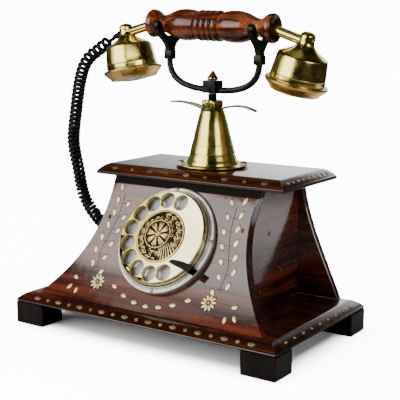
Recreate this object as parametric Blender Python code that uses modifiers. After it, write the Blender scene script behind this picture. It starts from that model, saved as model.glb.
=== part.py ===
"""A wooden desk telephone with a brass cradle and handset, modelled piece by piece in metres.

The frame: +Z up, the dial faces -Y, and the origin is at the middle of the box on the floor.
"""

import math

import bmesh
import bpy
from mathutils import Matrix, Vector

# ---------------------------------------------------------------- driving sizes
GAP = 0.0003

BASE_WIDTH = 0.254
BASE_DEPTH = 0.1458
BASE_Y = -0.0058
FOOT_HEIGHT = 0.0189
FOOT_SIZE = (0.030, 0.0245)
BASE_TOP = 0.0263
BASE_LIP = 0.0014
BASE_MOULD = 0.010

STAND_Y = 0.0305
BODY_TOP = 0.1218
BOARD_TOP = 0.1308
BOARD_WIDTH = 0.1862
BOARD_DEPTH = 0.090
BOARD_Y = STAND_Y + 0.0032
BOARD_LIP = 0.0027
BOARD_MOULD = 0.0094

PANEL_THICKNESS = 0.0087
PANEL_HALF_WIDTH = (0.1097, 0.0756, 0.0669, 0.0728)
PANEL_FACE_Y = (-0.0673, -0.0414, -0.0297, -0.0098)
BACK_HALF_WIDTH = (0.1090, 0.0958, 0.0774, 0.0743)
BACK_FACE_Y = 0.0585
BACK_THICKNESS = 0.006
SIDE_X = 0.0710
SIDE_THICKNESS = 0.006

DIAL_CENTRE = (0.0, -0.04295, 0.0835)
DIAL_LEAN = math.radians(31.9)
WHEEL_RADIUS = 0.0399
WHEEL_THICKNESS = 0.0026
HOLE_CIRCLE = 0.0313
HOLE_RADIUS = 0.0064
HOLE_COUNT = 10
FIRST_HOLE = math.radians(74.4)
HOLE_PITCH = math.radians(24.5)
MEDALLION_RADIUS = 0.0223
CASE_RADIUS = 0.0455
CASE_FOOT = -0.0116
CAN_RADIUS = 0.0355
CAN_DEPTH = -0.028
PLATE_TOP = -0.0063
SCREW_CIRCLE = 0.0434
FIRST_SCREW = math.radians(5)

CONE_BASE = 0.0223
CONE_TOP = 0.0100
CONE_HEIGHT = (0.1334, 0.1784)
FLANGE_RADIUS = 0.0307
FLANGE_SCREW_CIRCLE = 0.0265
FLANGE_SCREW_ANGLE = math.radians(25.6)
NUT_FLATS = 0.0167
PLUNGER_RADIUS = 0.0038
PLUNGER_FOOT = 0.096

CRADLE_LEAN = math.radians(2.0)
CRADLE_PIVOT = 0.195
BLOCK_SIZE = (0.0122, 0.0122, 0.0104)
ROD_RADIUS = 0.0027
FORK_X = 0.0446
COLLAR_WIDTH = 0.0070
COLLAR_Z = (0.218, 0.2254)
FORK_THICKNESS = 0.0044

HANDLE_X = -0.001
HANDLE_Z = 0.2473
HANDLE_HALF = 0.061
TUBE_RADIUS = 0.0040
TUBE_DROOP = math.radians(16.5)
CAPSULE_X = 0.0914
CAPSULE_Z = -0.0014
CAPSULE_LEAN = math.radians(13.3)
KNOB_RADIUS = 0.0057

GROMMET_Z = 0.054
CORD_RADIUS = 0.0056
SOCKET_SIZE = (0.018, 0.014, 0.013)
SOCKET_Z = 0.038

# ------------------------------------------------------------------- finishes
FINISHES = {
    "rosewood": ((0.19, 0.045, 0.022), 0.22, 0.0),
    "dark_wood": ((0.07, 0.025, 0.015), 0.30, 0.0),
    "brass": ((0.86, 0.70, 0.36), 0.18, 1.0),
    "old_brass": ((0.66, 0.44, 0.22), 0.30, 1.0),
    "bronze": ((0.035, 0.035, 0.028), 0.38, 0.8),
    "steel": ((0.55, 0.56, 0.56), 0.30, 1.0),
    "alloy": ((0.78, 0.79, 0.72), 0.28, 0.9),
    "enamel": ((0.86, 0.86, 0.84), 0.35, 0.0),
    "black_plastic": ((0.012, 0.012, 0.013), 0.40, 0.0),
    "copper": ((0.72, 0.34, 0.18), 0.35, 1.0),
    "circuit": ((0.10, 0.22, 0.08), 0.50, 0.0),
}


def collection(name):
    found = bpy.data.collections.get(name) or bpy.data.collections.new(name)
    if found.name not in bpy.context.scene.collection.children:
        bpy.context.scene.collection.children.link(found)
    return found


def clear_scene():
    for obj in list(bpy.data.objects):
        bpy.data.objects.remove(obj, do_unlink=True)


# -------------------------------------------------------------- shape helpers
def paint(obj, finish):
    """Gives the piece a material of its own."""
    colour, roughness, metallic = FINISHES[finish]
    mat = bpy.data.materials.new(f"{obj.name}_{finish}")
    mat.use_nodes = True
    shader = mat.node_tree.nodes["Principled BSDF"]
    shader.inputs["Base Color"].default_value = (*colour, 1.0)
    shader.inputs["Roughness"].default_value = roughness
    shader.inputs["Metallic"].default_value = metallic
    obj.data.materials.append(mat)


def place(obj, location=(0, 0, 0), rotation=(0, 0, 0), parent=None):
    obj.location = location
    obj.rotation_euler = rotation
    obj.parent = parent
    return obj


def piece(name, data, finish, location=(0, 0, 0), rotation=(0, 0, 0), parent=None):
    obj = bpy.data.objects.new(name, data)
    collection("cradle_telephone").objects.link(obj)
    paint(obj, finish)
    return place(obj, location, rotation, parent)


def guide(name, location, rotation=(0, 0, 0), parent=None):
    obj = bpy.data.objects.new(name, None)
    collection("cradle_telephone").objects.link(obj)
    return place(obj, location, rotation, parent)


def mesh_from(bm, name):
    bmesh.ops.recalc_face_normals(bm, faces=bm.faces)
    mesh = bpy.data.meshes.new(name)
    bm.to_mesh(mesh)
    bm.free()
    return mesh


def box(name, size, finish, centre, parent=None, bevel=0.0, rotation=(0, 0, 0)):
    bm = bmesh.new()
    bmesh.ops.create_cube(bm, size=1.0, matrix=Matrix.Diagonal((*size, 1.0)))
    obj = piece(name, mesh_from(bm, name), finish, centre, rotation, parent)
    if bevel:
        edge = obj.modifiers.new("soft_edges", "BEVEL")
        edge.width = bevel
        edge.segments = 1
    return obj


def turned(name, profile, finish, location=(0, 0, 0), rotation=(0, 0, 0), parent=None,
           steps=32, ring=False):
    """Turns (radius, height) points about local Z; they run down the outer side first."""
    count = len(profile)
    edges = [(i, i + 1) for i in range(count - 1)]
    if ring:
        edges.append((count - 1, 0))
    mesh = bpy.data.meshes.new(name)
    mesh.from_pydata([(radius, 0, height) for radius, height in profile], edges, [])
    obj = piece(name, mesh, finish, location, rotation, parent)
    screw = obj.modifiers.new("turning", "SCREW")
    screw.steps = steps
    screw.render_steps = steps
    screw.use_merge_vertices = True
    screw.merge_threshold = 0.00001
    return obj


def rod(name, points, radius, finish, parent=None, resolution=2):
    """A round wire or tube with closed ends along a list of points."""
    curve = bpy.data.curves.new(name, "CURVE")
    curve.dimensions = "3D"
    curve.bevel_depth = radius
    curve.bevel_resolution = resolution
    curve.use_fill_caps = True
    spline = curve.splines.new("POLY")
    spline.points.add(len(points) - 1)
    for knot, point in zip(spline.points, points):
        knot.co = (*point, 1.0)
    return piece(name, curve, finish, parent=parent)


def loft(name, sections, finish, location=(0, 0, 0), rotation=(0, 0, 0), parent=None):
    """Joins sections of four corners each into one closed solid."""
    bm = bmesh.new()
    rings = [[bm.verts.new(corner) for corner in section] for section in sections]
    for low, high in zip(rings, rings[1:]):
        for i in range(4):
            j = (i + 1) % 4
            bm.faces.new((low[i], low[j], high[j], high[i]))
    bm.faces.new(reversed(rings[0]))
    bm.faces.new(rings[-1])
    return piece(name, mesh_from(bm, name), finish, location, rotation, parent)


def moulded_board(name, half_x, half_y, steps, finish, centre):
    """A board whose top edge steps in: steps are (rise, inset) from its underside up."""
    lip = steps[0][0]
    bm = bmesh.new()
    size = (2 * half_x, 2 * half_y, lip)
    bmesh.ops.create_cube(bm, size=1.0, matrix=Matrix.Diagonal((*size, 1.0)))
    for rise, inset in steps[1:]:
        top = max(bm.faces, key=lambda face: face.calc_center_median().z)
        bmesh.ops.inset_region(bm, faces=[top], thickness=inset, depth=0.0)
        bmesh.ops.translate(bm, vec=(0, 0, rise), verts=top.verts)
    x, y, z = centre
    return piece(name, mesh_from(bm, name), finish, (x, y, z + lip / 2))


def cutter(name, obj):
    obj.name = name
    obj.hide_render = True
    obj.display_type = "WIRE"
    for used in list(obj.users_collection):
        used.objects.unlink(obj)
    holder = collection("cutters")
    holder.hide_render = True
    holder.objects.link(obj)
    return obj


def round_cutter(name, radius, length, location, rotation=(0, 0, 0), parent=None, sides=24):
    bm = bmesh.new()
    bmesh.ops.create_cone(bm, cap_ends=True, segments=sides, radius1=radius,
                          radius2=radius, depth=length)
    obj = piece(name, mesh_from(bm, name), "steel", location, rotation, parent)
    return cutter(name, obj)


def box_cutter(name, size, location, parent=None):
    return cutter(name, box(name, size, "steel", location, parent))


def combine(obj, other, operation="DIFFERENCE"):
    mod = obj.modifiers.new(f"{operation.lower()}_{other.name}", "BOOLEAN")
    mod.operation = operation
    mod.solver = "EXACT"
    mod.object = other
    return obj


def bezier(points, t):
    """The value at t of a cubic curve through four control values."""
    a, b, c, d = points
    s = 1 - t
    return a * s**3 + 3 * b * t * s**2 + 3 * c * t**2 * s + d * t**3


def smooth_route(points, count):
    """Points evenly along a Catmull-Rom curve through the route's own points."""
    knots = [Vector(p) for p in points]
    knots = [2 * knots[0] - knots[1], *knots, 2 * knots[-1] - knots[-2]]
    dense = []
    for i in range(1, len(knots) - 2):
        p0, p1, p2, p3 = knots[i - 1:i + 3]
        for k in range(20):
            t = k / 20
            dense.append(0.5 * (2 * p1 + (p2 - p0) * t + (2 * p0 - 5 * p1 + 4 * p2 - p3) * t**2
                                + (3 * p1 - p0 - 3 * p2 + p3) * t**3))
    dense.append(knots[-2])
    lengths = [0.0]
    for a, b in zip(dense, dense[1:]):
        lengths.append(lengths[-1] + (b - a).length)
    route = []
    k = 0
    for i in range(count):
        want = lengths[-1] * i / (count - 1)
        while k < len(dense) - 2 and lengths[k + 1] < want:
            k += 1
        part = (want - lengths[k]) / (lengths[k + 1] - lengths[k])
        route.append(dense[k].lerp(dense[k + 1], part))
    return route


# ------------------------------------------------------------------ wooden body
def make_base():
    moulded_board("base_board", BASE_WIDTH / 2, BASE_DEPTH / 2,
                  [(BASE_LIP, 0), (0.0030, 0.0034), (0.0018, 0.0034),
                   (BASE_TOP - FOOT_HEIGHT - BASE_LIP - 0.0048, BASE_MOULD - 0.0068)],
                  "rosewood", (0, BASE_Y, FOOT_HEIGHT))
    height = FOOT_HEIGHT - GAP
    for x_side, side in ((-1, "left"), (1, "right")):
        for y_side, end in ((-1, "front"), (1, "rear")):
            x = x_side * (BASE_WIDTH - FOOT_SIZE[0]) / 2
            y = BASE_Y + y_side * (BASE_DEPTH - FOOT_SIZE[1]) / 2
            box(f"foot_{end}_{side}", (*FOOT_SIZE, height), "dark_wood",
                (x, y, height / 2), bevel=0.0008)


def body_height(t):
    low = BASE_TOP + GAP
    high = BODY_TOP - GAP
    return low + t * (high - low)


def panel_back_y(t):
    return bezier(PANEL_FACE_Y, t) + PANEL_THICKNESS


def standing_board(name, corners, finish, stations):
    """A board built up from flat sections: corners(t) gives x0, x1, y0, y1 at height t."""
    sections = []
    for i in range(stations):
        t = i / (stations - 1)
        x0, x1, y0, y1 = corners(t)
        z = body_height(t)
        sections.append([(x0, y0, z), (x1, y0, z), (x1, y1, z), (x0, y1, z)])
    return loft(name, sections, finish)


def front_corners(t):
    half = bezier(PANEL_HALF_WIDTH, t)
    return -half, half, bezier(PANEL_FACE_Y, t), panel_back_y(t)


def back_corners(t):
    half = bezier(BACK_HALF_WIDTH, t)
    return -half, half, BACK_FACE_Y - BACK_THICKNESS, BACK_FACE_Y


def side_corners(t):
    return (SIDE_X - SIDE_THICKNESS, SIDE_X,
            panel_back_y(t) + GAP, BACK_FACE_Y - BACK_THICKNESS - GAP)


def left_corners(t):
    inner, outer, front, back = side_corners(t)
    return -outer, -inner, front, back


def make_body(dial):
    front = standing_board("front_panel", front_corners, "rosewood", 14)
    seat = round_cutter("dial_seat_cutter", CASE_RADIUS + 0.0004, 0.05,
                        (0, 0, CASE_FOOT - GAP + 0.025), parent=dial, sides=48)
    hole = round_cutter("dial_hole_cutter", CAN_RADIUS + 0.0005, 0.06,
                        (0, 0, -0.02), parent=dial, sides=40)
    combine(front, seat)
    combine(front, hole)

    back = standing_board("back_panel", back_corners, "rosewood", 9)
    width, _, height = SOCKET_SIZE
    combine(back, box_cutter("socket_cutter", (width + 2 * GAP, 0.03, height + 2 * GAP),
                             (0, BACK_FACE_Y, SOCKET_Z)))

    standing_board("side_panel_right", side_corners, "rosewood", 12)
    left = standing_board("side_panel_left", left_corners, "rosewood", 12)
    combine(left, round_cutter("grommet_cutter", 0.0045 + GAP, 0.03,
                               (-SIDE_X, STAND_Y, GROMMET_Z), (0, math.pi / 2, 0), sides=20))

    rise = BOARD_TOP - BODY_TOP - BOARD_LIP
    board = moulded_board("top_board", BOARD_WIDTH / 2, BOARD_DEPTH / 2,
                          [(BOARD_LIP, 0), (rise * 0.65, BOARD_MOULD * 0.5),
                           (rise * 0.35, BOARD_MOULD * 0.5)],
                          "rosewood", (0, BOARD_Y, BODY_TOP))
    combine(board, round_cutter("plunger_hole_cutter", 0.0045, 0.04,
                                (0, STAND_Y, BOARD_TOP), sides=20))


def make_line_socket():
    """The socket in the back that a line cord plugs into."""
    width, depth, height = SOCKET_SIZE
    y = BACK_FACE_Y + 0.0015 - depth / 2
    socket = box("line_socket", SOCKET_SIZE, "black_plastic", (0, y, SOCKET_Z))
    combine(socket, box_cutter("socket_mouth_cutter", (0.0112, 0.020, 0.0072),
                               (0, BACK_FACE_Y + 0.0015, SOCKET_Z)))


def make_grommet():
    """The rubber bush in the left side that the handset cord enters."""
    flange = 0.0065
    neck = 0.0045
    out = 0.0025 + GAP
    inside = -(SIDE_THICKNESS + 0.002)
    turned("side_grommet",
           [(0, out), (0.0050, out), (flange, out - 0.0010), (flange, GAP), (neck, GAP),
            (neck, inside), (0, inside)],
           "black_plastic", (-SIDE_X, STAND_Y, GROMMET_Z), (0, -math.pi / 2, 0), steps=16)


# ------------------------------------------------------------------------ dial
def ring_angle(index):
    return FIRST_HOLE + index * HOLE_PITCH


def make_wheel(dial):
    thick = WHEEL_THICKNESS
    wheel = turned("finger_wheel",
                   [(0, 0), (WHEEL_RADIUS - 0.0016, 0), (WHEEL_RADIUS - 0.0004, -0.0006),
                    (WHEEL_RADIUS, -0.0016), (WHEEL_RADIUS, -thick), (0, -thick)],
                   "brass", parent=dial, steps=48)
    for i in range(HOLE_COUNT):
        angle = ring_angle(i)
        spot = (HOLE_CIRCLE * math.cos(angle), HOLE_CIRCLE * math.sin(angle), -thick / 2)
        combine(wheel, round_cutter(f"finger_hole_cutter_{i}", HOLE_RADIUS, 0.01, spot,
                                    parent=dial, sides=16))
    turned("wheel_medallion",
           [(0, 0.0019), (0.0195, 0.0012), (0.0212, 0.0015), (MEDALLION_RADIUS, 0.0010),
            (MEDALLION_RADIUS, GAP), (0, GAP)],
           "old_brass", parent=dial, steps=32)
    turned("dial_shaft", [(0, -thick - GAP), (0.004, -thick - GAP), (0.004, -0.0265), (0, -0.0265)],
           "steel", parent=dial, steps=16)


def make_dial_case(dial):
    turned("dial_case",
           [(0.0411, -0.0052), (0.0417, -0.0065), (0.0450, -0.0066), (CASE_RADIUS, -0.0076),
            (CASE_RADIUS, CASE_FOOT), (CAN_RADIUS, CASE_FOOT), (CAN_RADIUS, CAN_DEPTH),
            (CAN_RADIUS - 0.0012, CAN_DEPTH), (CAN_RADIUS - 0.0012, -0.0085),
            (0.0386, -0.0080)],
           "alloy", parent=dial, steps=40, ring=True)
    turned("number_plate",
           [(0.0378, PLATE_TOP), (0.0378, -0.0076), (0.0048, -0.0076), (0.0048, PLATE_TOP)],
           "enamel", parent=dial, steps=32, ring=True)
    turned("dial_mechanism",
           [(0.0085, -0.0110), (0.0085, -0.0160), (0.0335, -0.0160), (0.0335, -0.0240),
            (0.00425, -0.0240), (0.00425, -0.0110)],
           "steel", parent=dial, steps=20, ring=True)
    for i in range(4):
        angle = FIRST_SCREW + i * math.pi / 2
        spot = (SCREW_CIRCLE * math.cos(angle), SCREW_CIRCLE * math.sin(angle), -0.0066 + GAP)
        turned(f"dial_screw_{i + 1}", [(0, 0.0009), (0.0009, 0.0006), (0.0014, 0), (0, 0)],
               "steel", spot, parent=dial, steps=12)


def stop_section(radius, degrees, low, high, half_width):
    """Four corners of the finger stop where it crosses a radius of the dial."""
    angle = math.radians(degrees)
    x, y = radius * math.cos(angle), radius * math.sin(angle)
    side = Vector((-math.sin(angle), math.cos(angle), 0)) * half_width
    centre = Vector((x, y, 0))
    return [centre - side + Vector((0, 0, low)), centre + side + Vector((0, 0, low)),
            centre + side + Vector((0, 0, high)), centre - side + Vector((0, 0, high))]


def make_finger_stop(dial):
    """The bent steel finger stop: a foot on the case, and an arm that hooks over the wheel."""
    arm = [stop_section(0.0450, -31.0, 0.0004, 0.0019, 0.0031),
           stop_section(0.0400, -32.5, 0.0006, 0.0021, 0.0031),
           stop_section(0.0350, -35.5, 0.0006, 0.0021, 0.0030),
           stop_section(0.0300, -40.5, 0.0006, 0.0022, 0.0026),
           stop_section(0.0262, -46.5, 0.0006, 0.0030, 0.0016)]
    stop = loft("finger_stop", arm, "steel", parent=dial)
    leg = loft("finger_stop_leg",
               [stop_section(0.0434, -31.5, -0.0066 + GAP, 0.0010, 0.0027),
                stop_section(0.0448, -31.5, -0.0066 + GAP, 0.0010, 0.0027)],
               "steel", parent=dial)
    combine(stop, cutter("finger_stop_leg", leg), "UNION")


# ----------------------------------------------------------------------- stand
def make_stand():
    low, high = CONE_HEIGHT
    wall = 0.0013
    turned("stand_cone",
           [(0.0058, high), (CONE_TOP - 0.0006, high), (CONE_TOP, high - 0.0006),
            (0.0186, 0.1425), (CONE_BASE, low), (CONE_BASE - wall, low), (0.0172, 0.1425),
            (CONE_TOP - wall, high - wall), (0.0058, high - wall)],
           "brass", (0, STAND_Y, 0), steps=32, ring=True)
    flange = turned("stand_flange",
                    [(0.0229, 0.1331), (0.0245, 0.1325), (FLANGE_RADIUS, 0.1330),
                     (FLANGE_RADIUS, 0.1316), (0.0290, 0.1311), (0.0090, 0.1311),
                     (0.0090, 0.1326)],
                    "brass", (0, STAND_Y, 0), steps=32, ring=True)
    for i in range(2):
        angle = FLANGE_SCREW_ANGLE + i * math.pi
        spot = (FLANGE_SCREW_CIRCLE * math.cos(angle),
                STAND_Y + FLANGE_SCREW_CIRCLE * math.sin(angle), 0)
        combine(flange, round_cutter(f"flange_screw_cutter_{i + 1}", 0.0017, 0.01,
                                     (spot[0], spot[1], 0.132), sides=12))
        turned(f"flange_screw_{i + 1}",
               [(0, 0.1358), (0.0016, 0.1353), (0.0029, 0.1340), (0.0029, 0.1334),
                (0.0013, 0.1334), (0.0013, 0.1311), (0, 0.1311)],
               "steel", (spot[0], spot[1], 0), steps=14)


def leaf_section(x):
    """The leaf strip's four corners at x: it arches up from the middle and droops at its tips."""
    reach = abs(x)
    along = max(0.0, (reach - 0.009) / 0.0337)
    rise = 0.0046 * math.sin(math.pi * min(1.0, along * 0.88)) - 0.0006 * along
    half = 0.0088 if reach < 0.009 else 0.0052 * math.cos(along * 1.25) + 0.0002
    low = 0.1787 + rise
    return [(x, STAND_Y - half, low), (x, STAND_Y + half, low),
            (x, STAND_Y + half, low + 0.0012), (x, STAND_Y - half, low + 0.0012)]


def make_leaf_strip():
    places = [-0.0427, -0.037, -0.031, -0.025, -0.019, -0.0135, -0.0090, -0.0089]
    places += [-x for x in reversed(places)]
    strip = loft("leaf_strip", [leaf_section(x) for x in places], "brass")
    combine(strip, round_cutter("leaf_strip_cutter", 0.0058, 0.02, (0, STAND_Y, 0.1795), sides=20))


def make_nut():
    """The hexagonal nut with the sleeve that guides the plunger."""
    bm = bmesh.new()
    across = NUT_FLATS / math.sqrt(3)
    bmesh.ops.create_cone(bm, cap_ends=True, segments=6, radius1=across, radius2=across,
                          depth=0.0062)
    nut = piece("lock_nut", mesh_from(bm, "lock_nut"), "brass",
                (0, STAND_Y, 0.1803 + 0.0031), (0, 0, math.radians(12)))
    edge = nut.modifiers.new("worn_corners", "BEVEL")
    edge.width = 0.0007
    edge.segments = 1
    sleeve = round_cutter("nut_sleeve", 0.0055, 0.0080, (0, STAND_Y, 0.1790), sides=20)
    combine(nut, sleeve, "UNION")
    combine(nut, round_cutter("nut_bore_cutter", PLUNGER_RADIUS + 0.0001, 0.03,
                              (0, STAND_Y, 0.180), sides=24))


# ---------------------------------------------------------------------- cradle
def make_plunger():
    turned("plunger",
           [(0, 0.1915), (PLUNGER_RADIUS, 0.1915), (PLUNGER_RADIUS, 0.1640), (0.0068, 0.1640),
            (0.0068, 0.1620), (PLUNGER_RADIUS, 0.1620), (PLUNGER_RADIUS, PLUNGER_FOOT),
            (0, PLUNGER_FOOT)],
           "bronze", (0, STAND_Y, 0), steps=16)


def make_plunger_spring():
    turns = 5
    low, high = BOARD_TOP + 0.0010, 0.1610
    points = []
    for i in range(turns * 8 + 1):
        angle = i * math.pi / 4
        z = low + (high - low) * i / (turns * 8)
        points.append((0.0062 * math.cos(angle), STAND_Y + 0.0062 * math.sin(angle), z))
    rod("plunger_spring", points, 0.0005, "steel", resolution=0)


def rod_route():
    """The cradle rod from one collar to the other, as local x and z about the pivot."""
    rise = COLLAR_Z[0] - GAP - CRADLE_PIVOT
    xs = (0.0045, 0.0310, FORK_X, FORK_X)
    zs = (-0.0002, -0.0004, 0.0075, rise)
    right = [(bezier(xs, i / 12), 0, bezier(zs, i / 12)) for i in range(13)]
    left = [(-x, y, z) for x, y, z in reversed(right)]
    return left + right


def fork_outline():
    """One half of the fork, from the crotch over the prong's tip to the foot: y and z."""
    return [(0.0, -0.0101), (0.0045, -0.0098), (0.0080, -0.0085), (0.0104, -0.0058),
            (0.0127, -0.0008), (0.0146, 0.0020), (0.0162, 0.0028), (0.0178, 0.0022),
            (0.0189, -0.0004), (0.0182, -0.0044), (0.0150, -0.0078), (0.0100, -0.0124),
            (0.0062, -0.0164), (0.0043, -0.0195), (0.0042, -0.0217)]


def make_fork(name, x, cradle):
    drop = HANDLE_Z - CRADLE_PIVOT
    half = fork_outline()
    outline = [(y, z + drop) for y, z in half]
    outline += [(-y, z + drop) for y, z in reversed(half[1:])]
    curve = bpy.data.curves.new(name, "CURVE")
    curve.dimensions = "2D"
    curve.fill_mode = "BOTH"
    curve.extrude = FORK_THICKNESS / 2
    spline = curve.splines.new("POLY")
    spline.points.add(len(outline) - 1)
    for knot, (y, z) in zip(spline.points, outline):
        knot.co = (y, z, 0, 1.0)
    spline.use_cyclic_u = True
    return piece(name, curve, "bronze", (x, 0, 0), (math.pi / 2, 0, math.pi / 2), cradle)


def make_cradle():
    cradle = guide("cradle_frame", (0, STAND_Y, CRADLE_PIVOT), (0, CRADLE_LEAN, 0))
    block_z = 0.1974 - CRADLE_PIVOT
    block = box("cradle_block", BLOCK_SIZE, "bronze", (0, 0, block_z), cradle)
    combine(block, round_cutter("block_bore_cutter", ROD_RADIUS + GAP, 0.03,
                                (0, 0, -0.0002), (0, math.pi / 2, 0), cradle, 16))
    rod("cradle_rod", rod_route(), ROD_RADIUS, "bronze", cradle)
    top = block_z + BLOCK_SIZE[2] / 2 + GAP
    turned("finial",
           [(0, top + 0.0082), (0.0010, top + 0.0068), (0.0034, top + 0.0028),
            (0.0046, top + 0.0010), (0.0044, top), (0, top)],
           "brass", parent=cradle, steps=20)
    low, high = (z - CRADLE_PIVOT for z in COLLAR_Z)
    for side, name in ((-1, "left"), (1, "right")):
        box(f"fork_collar_{name}", (COLLAR_WIDTH, COLLAR_WIDTH, high - low), "bronze",
            (side * FORK_X, 0, (high + low) / 2), cradle)
        make_fork(f"fork_{name}", side * FORK_X, cradle)


# --------------------------------------------------------------------- handset
def handle_profile():
    """The turned handle from its right end to its left end, as radius and height."""
    bead, groove = 0.0126, 0.0112
    half = [(0.0046, 0.0568), (0.0102, HANDLE_HALF), (0.0119, 0.0600), (0.0117, 0.0565),
            (0.0092, 0.0522), (0.0076, 0.0480), (0.0082, 0.0432), (0.0115, 0.0350),
            (0.0130, 0.0275), (0.0128, 0.0190), (0.0110, 0.0117), (groove, 0.0099),
            (bead, 0.0084), (bead, 0.0048), (groove, 0.0033), (bead, 0.0018)]
    return [(0, 0.0568), *half, *[(r, -z) for r, z in reversed(half)], (0, -0.0568)]


def shell_profile():
    return [(0, 0), (0.0042, -0.0012), (KNOB_RADIUS, -0.0036), (KNOB_RADIUS, -0.0060),
            (0.0053, -0.0095), (0.0057, -0.0118), (0.0074, -0.0142), (0.0196, -0.0190),
            (0.0203, -0.0199), (0.0225, -0.0392), (0.0255, -0.0402), (0.0253, -0.0415),
            (0.0213, -0.0415), (0.0189, -0.0210), (0, -0.0170)]


def cap_profile():
    return [(0.0250, -0.0418), (0.0248, -0.0426), (0.0208, -0.0468), (0.0196, -0.0484),
            (0.0184, -0.0476), (0.0186, -0.0418)]


def grille_profile():
    return [(0, -0.0494), (0.0100, -0.0488), (0.0181, -0.0466), (0.0181, -0.0478),
            (0.0100, -0.0500), (0, -0.0506)]


def make_capsule(side, name, role, handset):
    """One end of the handset: shell, cap, grille and the unit inside, on a leaning frame."""
    frame = guide(f"{name}_capsule_frame", (side * CAPSULE_X, 0, CAPSULE_Z),
                  (0, side * CAPSULE_LEAN, 0), handset)
    turned(f"{role}_shell", shell_profile(), "brass", parent=frame, steps=28)
    turned(f"{role}_cap", cap_profile(), "old_brass", parent=frame, steps=28, ring=True)
    turned(f"{role}_grille", grille_profile(), "enamel", parent=frame, steps=20)
    turned(f"{role}_unit",
           [(0, -0.0290), (0.0168, -0.0290), (0.0150, -0.0385), (0, -0.0385)],
           "black_plastic", parent=frame, steps=16)
    return frame


def make_tube(side, name, handset, capsule):
    """The brass tube from the handle's socket down to the capsule's knob."""
    length = 0.0440
    start = Vector((side * 0.0490, 0, 0.0025))
    along = Vector((side * math.cos(TUBE_DROOP), 0, -math.sin(TUBE_DROOP)))
    turn = (0, side * (math.pi / 2 + TUBE_DROOP), 0)
    bm = bmesh.new()
    bmesh.ops.create_cone(bm, cap_ends=True, segments=20, radius1=TUBE_RADIUS,
                          radius2=TUBE_RADIUS, depth=length)
    tube = piece(f"arm_tube_{name}", mesh_from(bm, name), "brass",
                 start + along * length / 2, turn, handset)
    combine(tube, round_cutter(f"knob_cutter_{name}", KNOB_RADIUS + GAP, 0.04,
                               (0, 0, -0.008), parent=capsule, sides=32))
    combine(tube, box_cutter(f"tube_end_cutter_{name}", (0.03, 0.03, 0.04),
                             (side * (0.015 + 0.003), 0, -0.008), parent=capsule))
    return round_cutter(f"handle_socket_cutter_{name}", TUBE_RADIUS + GAP, length,
                        start + along * (length / 2 - 0.0005), turn, handset, 20)


def make_handset():
    handset = guide("handset_frame", (HANDLE_X, STAND_Y, HANDLE_Z), (0, CRADLE_LEAN, 0))
    handle = turned("handset_handle", handle_profile(), "rosewood",
                    rotation=(0, math.pi / 2, 0), parent=handset, steps=24)
    left = make_capsule(-1, "left", "transmitter", handset)
    right = make_capsule(1, "right", "receiver", handset)
    combine(handle, make_tube(-1, "left", handset, left))
    combine(handle, make_tube(1, "right", handset, right))
    turned("cord_gland",
           [(0, 0.0055), (0.0018, 0.0055), (0.0026, 0.0045), (0.0032, 0), (0, 0)],
           "black_plastic", (-KNOB_RADIUS - 0.0009, 0, -0.0080), (0, -math.radians(98), 0),
           left, 16)


# ------------------------------------------------------------- pieces inside
GONG_X = 0.0235
GONG_Z = 0.0335
RINGER_Y = 0.0100
CLAPPER_Y = RINGER_Y + 0.0220


def make_ringer():
    bracket = box("ringer_bracket", (0.070, 0.046, 0.0016), "steel",
                  (0, RINGER_Y + 0.005, BASE_TOP + GAP + 0.0008))
    for side in (-1, 1):
        combine(bracket, round_cutter(f"gong_post_{side + 1}", 0.0030, GONG_Z - BASE_TOP - 0.0010,
                                      (side * GONG_X, RINGER_Y, (GONG_Z + BASE_TOP) / 2 + 0.0002),
                                      sides=12), "UNION")
    combine(bracket, box_cutter("coil_upright", (0.012, 0.0016, 0.0150),
                                (0, RINGER_Y + 0.0265, BASE_TOP + 0.0080)), "UNION")
    combine(bracket, round_cutter("clapper_post", 0.0020, 0.0080, (0, CLAPPER_Y, BASE_TOP + 0.0046),
                                  sides=10), "UNION")
    for side, name in ((-1, "left"), (1, "right")):
        turned(f"gong_{name}",
               [(0.0030, 0.0115), (0.0125, 0.0095), (0.0192, 0.0030), (0.0200, 0),
                (0.0190, 0), (0.0182, 0.0022), (0.0120, 0.0080), (0.0030, 0.0100)],
               "brass", (side * GONG_X, RINGER_Y, GONG_Z + GAP), steps=18, ring=True)
    turned("ringer_coil",
           [(0, 0.017), (0.0085, 0.017), (0.0085, 0.0155), (0.0070, 0.0155),
            (0.0070, -0.0155), (0.0085, -0.0155), (0.0085, -0.017), (0, -0.017)],
           "copper", (0, RINGER_Y + 0.0185, 0.0560), (0, math.pi / 2, 0), steps=14)


def make_clapper():
    """The clapper's hub, arm and ball, which swing between the gongs."""
    low = BASE_TOP + 0.0090
    bm = bmesh.new()
    bmesh.ops.create_cone(bm, cap_ends=True, segments=12, radius1=0.0030, radius2=0.0030,
                          depth=0.0030)
    clapper = piece("clapper", mesh_from(bm, "clapper"), "steel", (0, CLAPPER_Y, low + 0.0015))
    arm = box_cutter("clapper_arm", (0.0014, 0.0220, 0.0014), (0, -0.0115, 0), clapper)
    combine(clapper, arm, "UNION")
    bm = bmesh.new()
    bmesh.ops.create_uvsphere(bm, u_segments=12, v_segments=8, radius=0.0026)
    ball = piece("clapper_ball", mesh_from(bm, "clapper_ball"), "steel", (0, -0.0220, 0),
                 parent=clapper)
    combine(clapper, cutter("clapper_ball", ball), "UNION")


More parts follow.
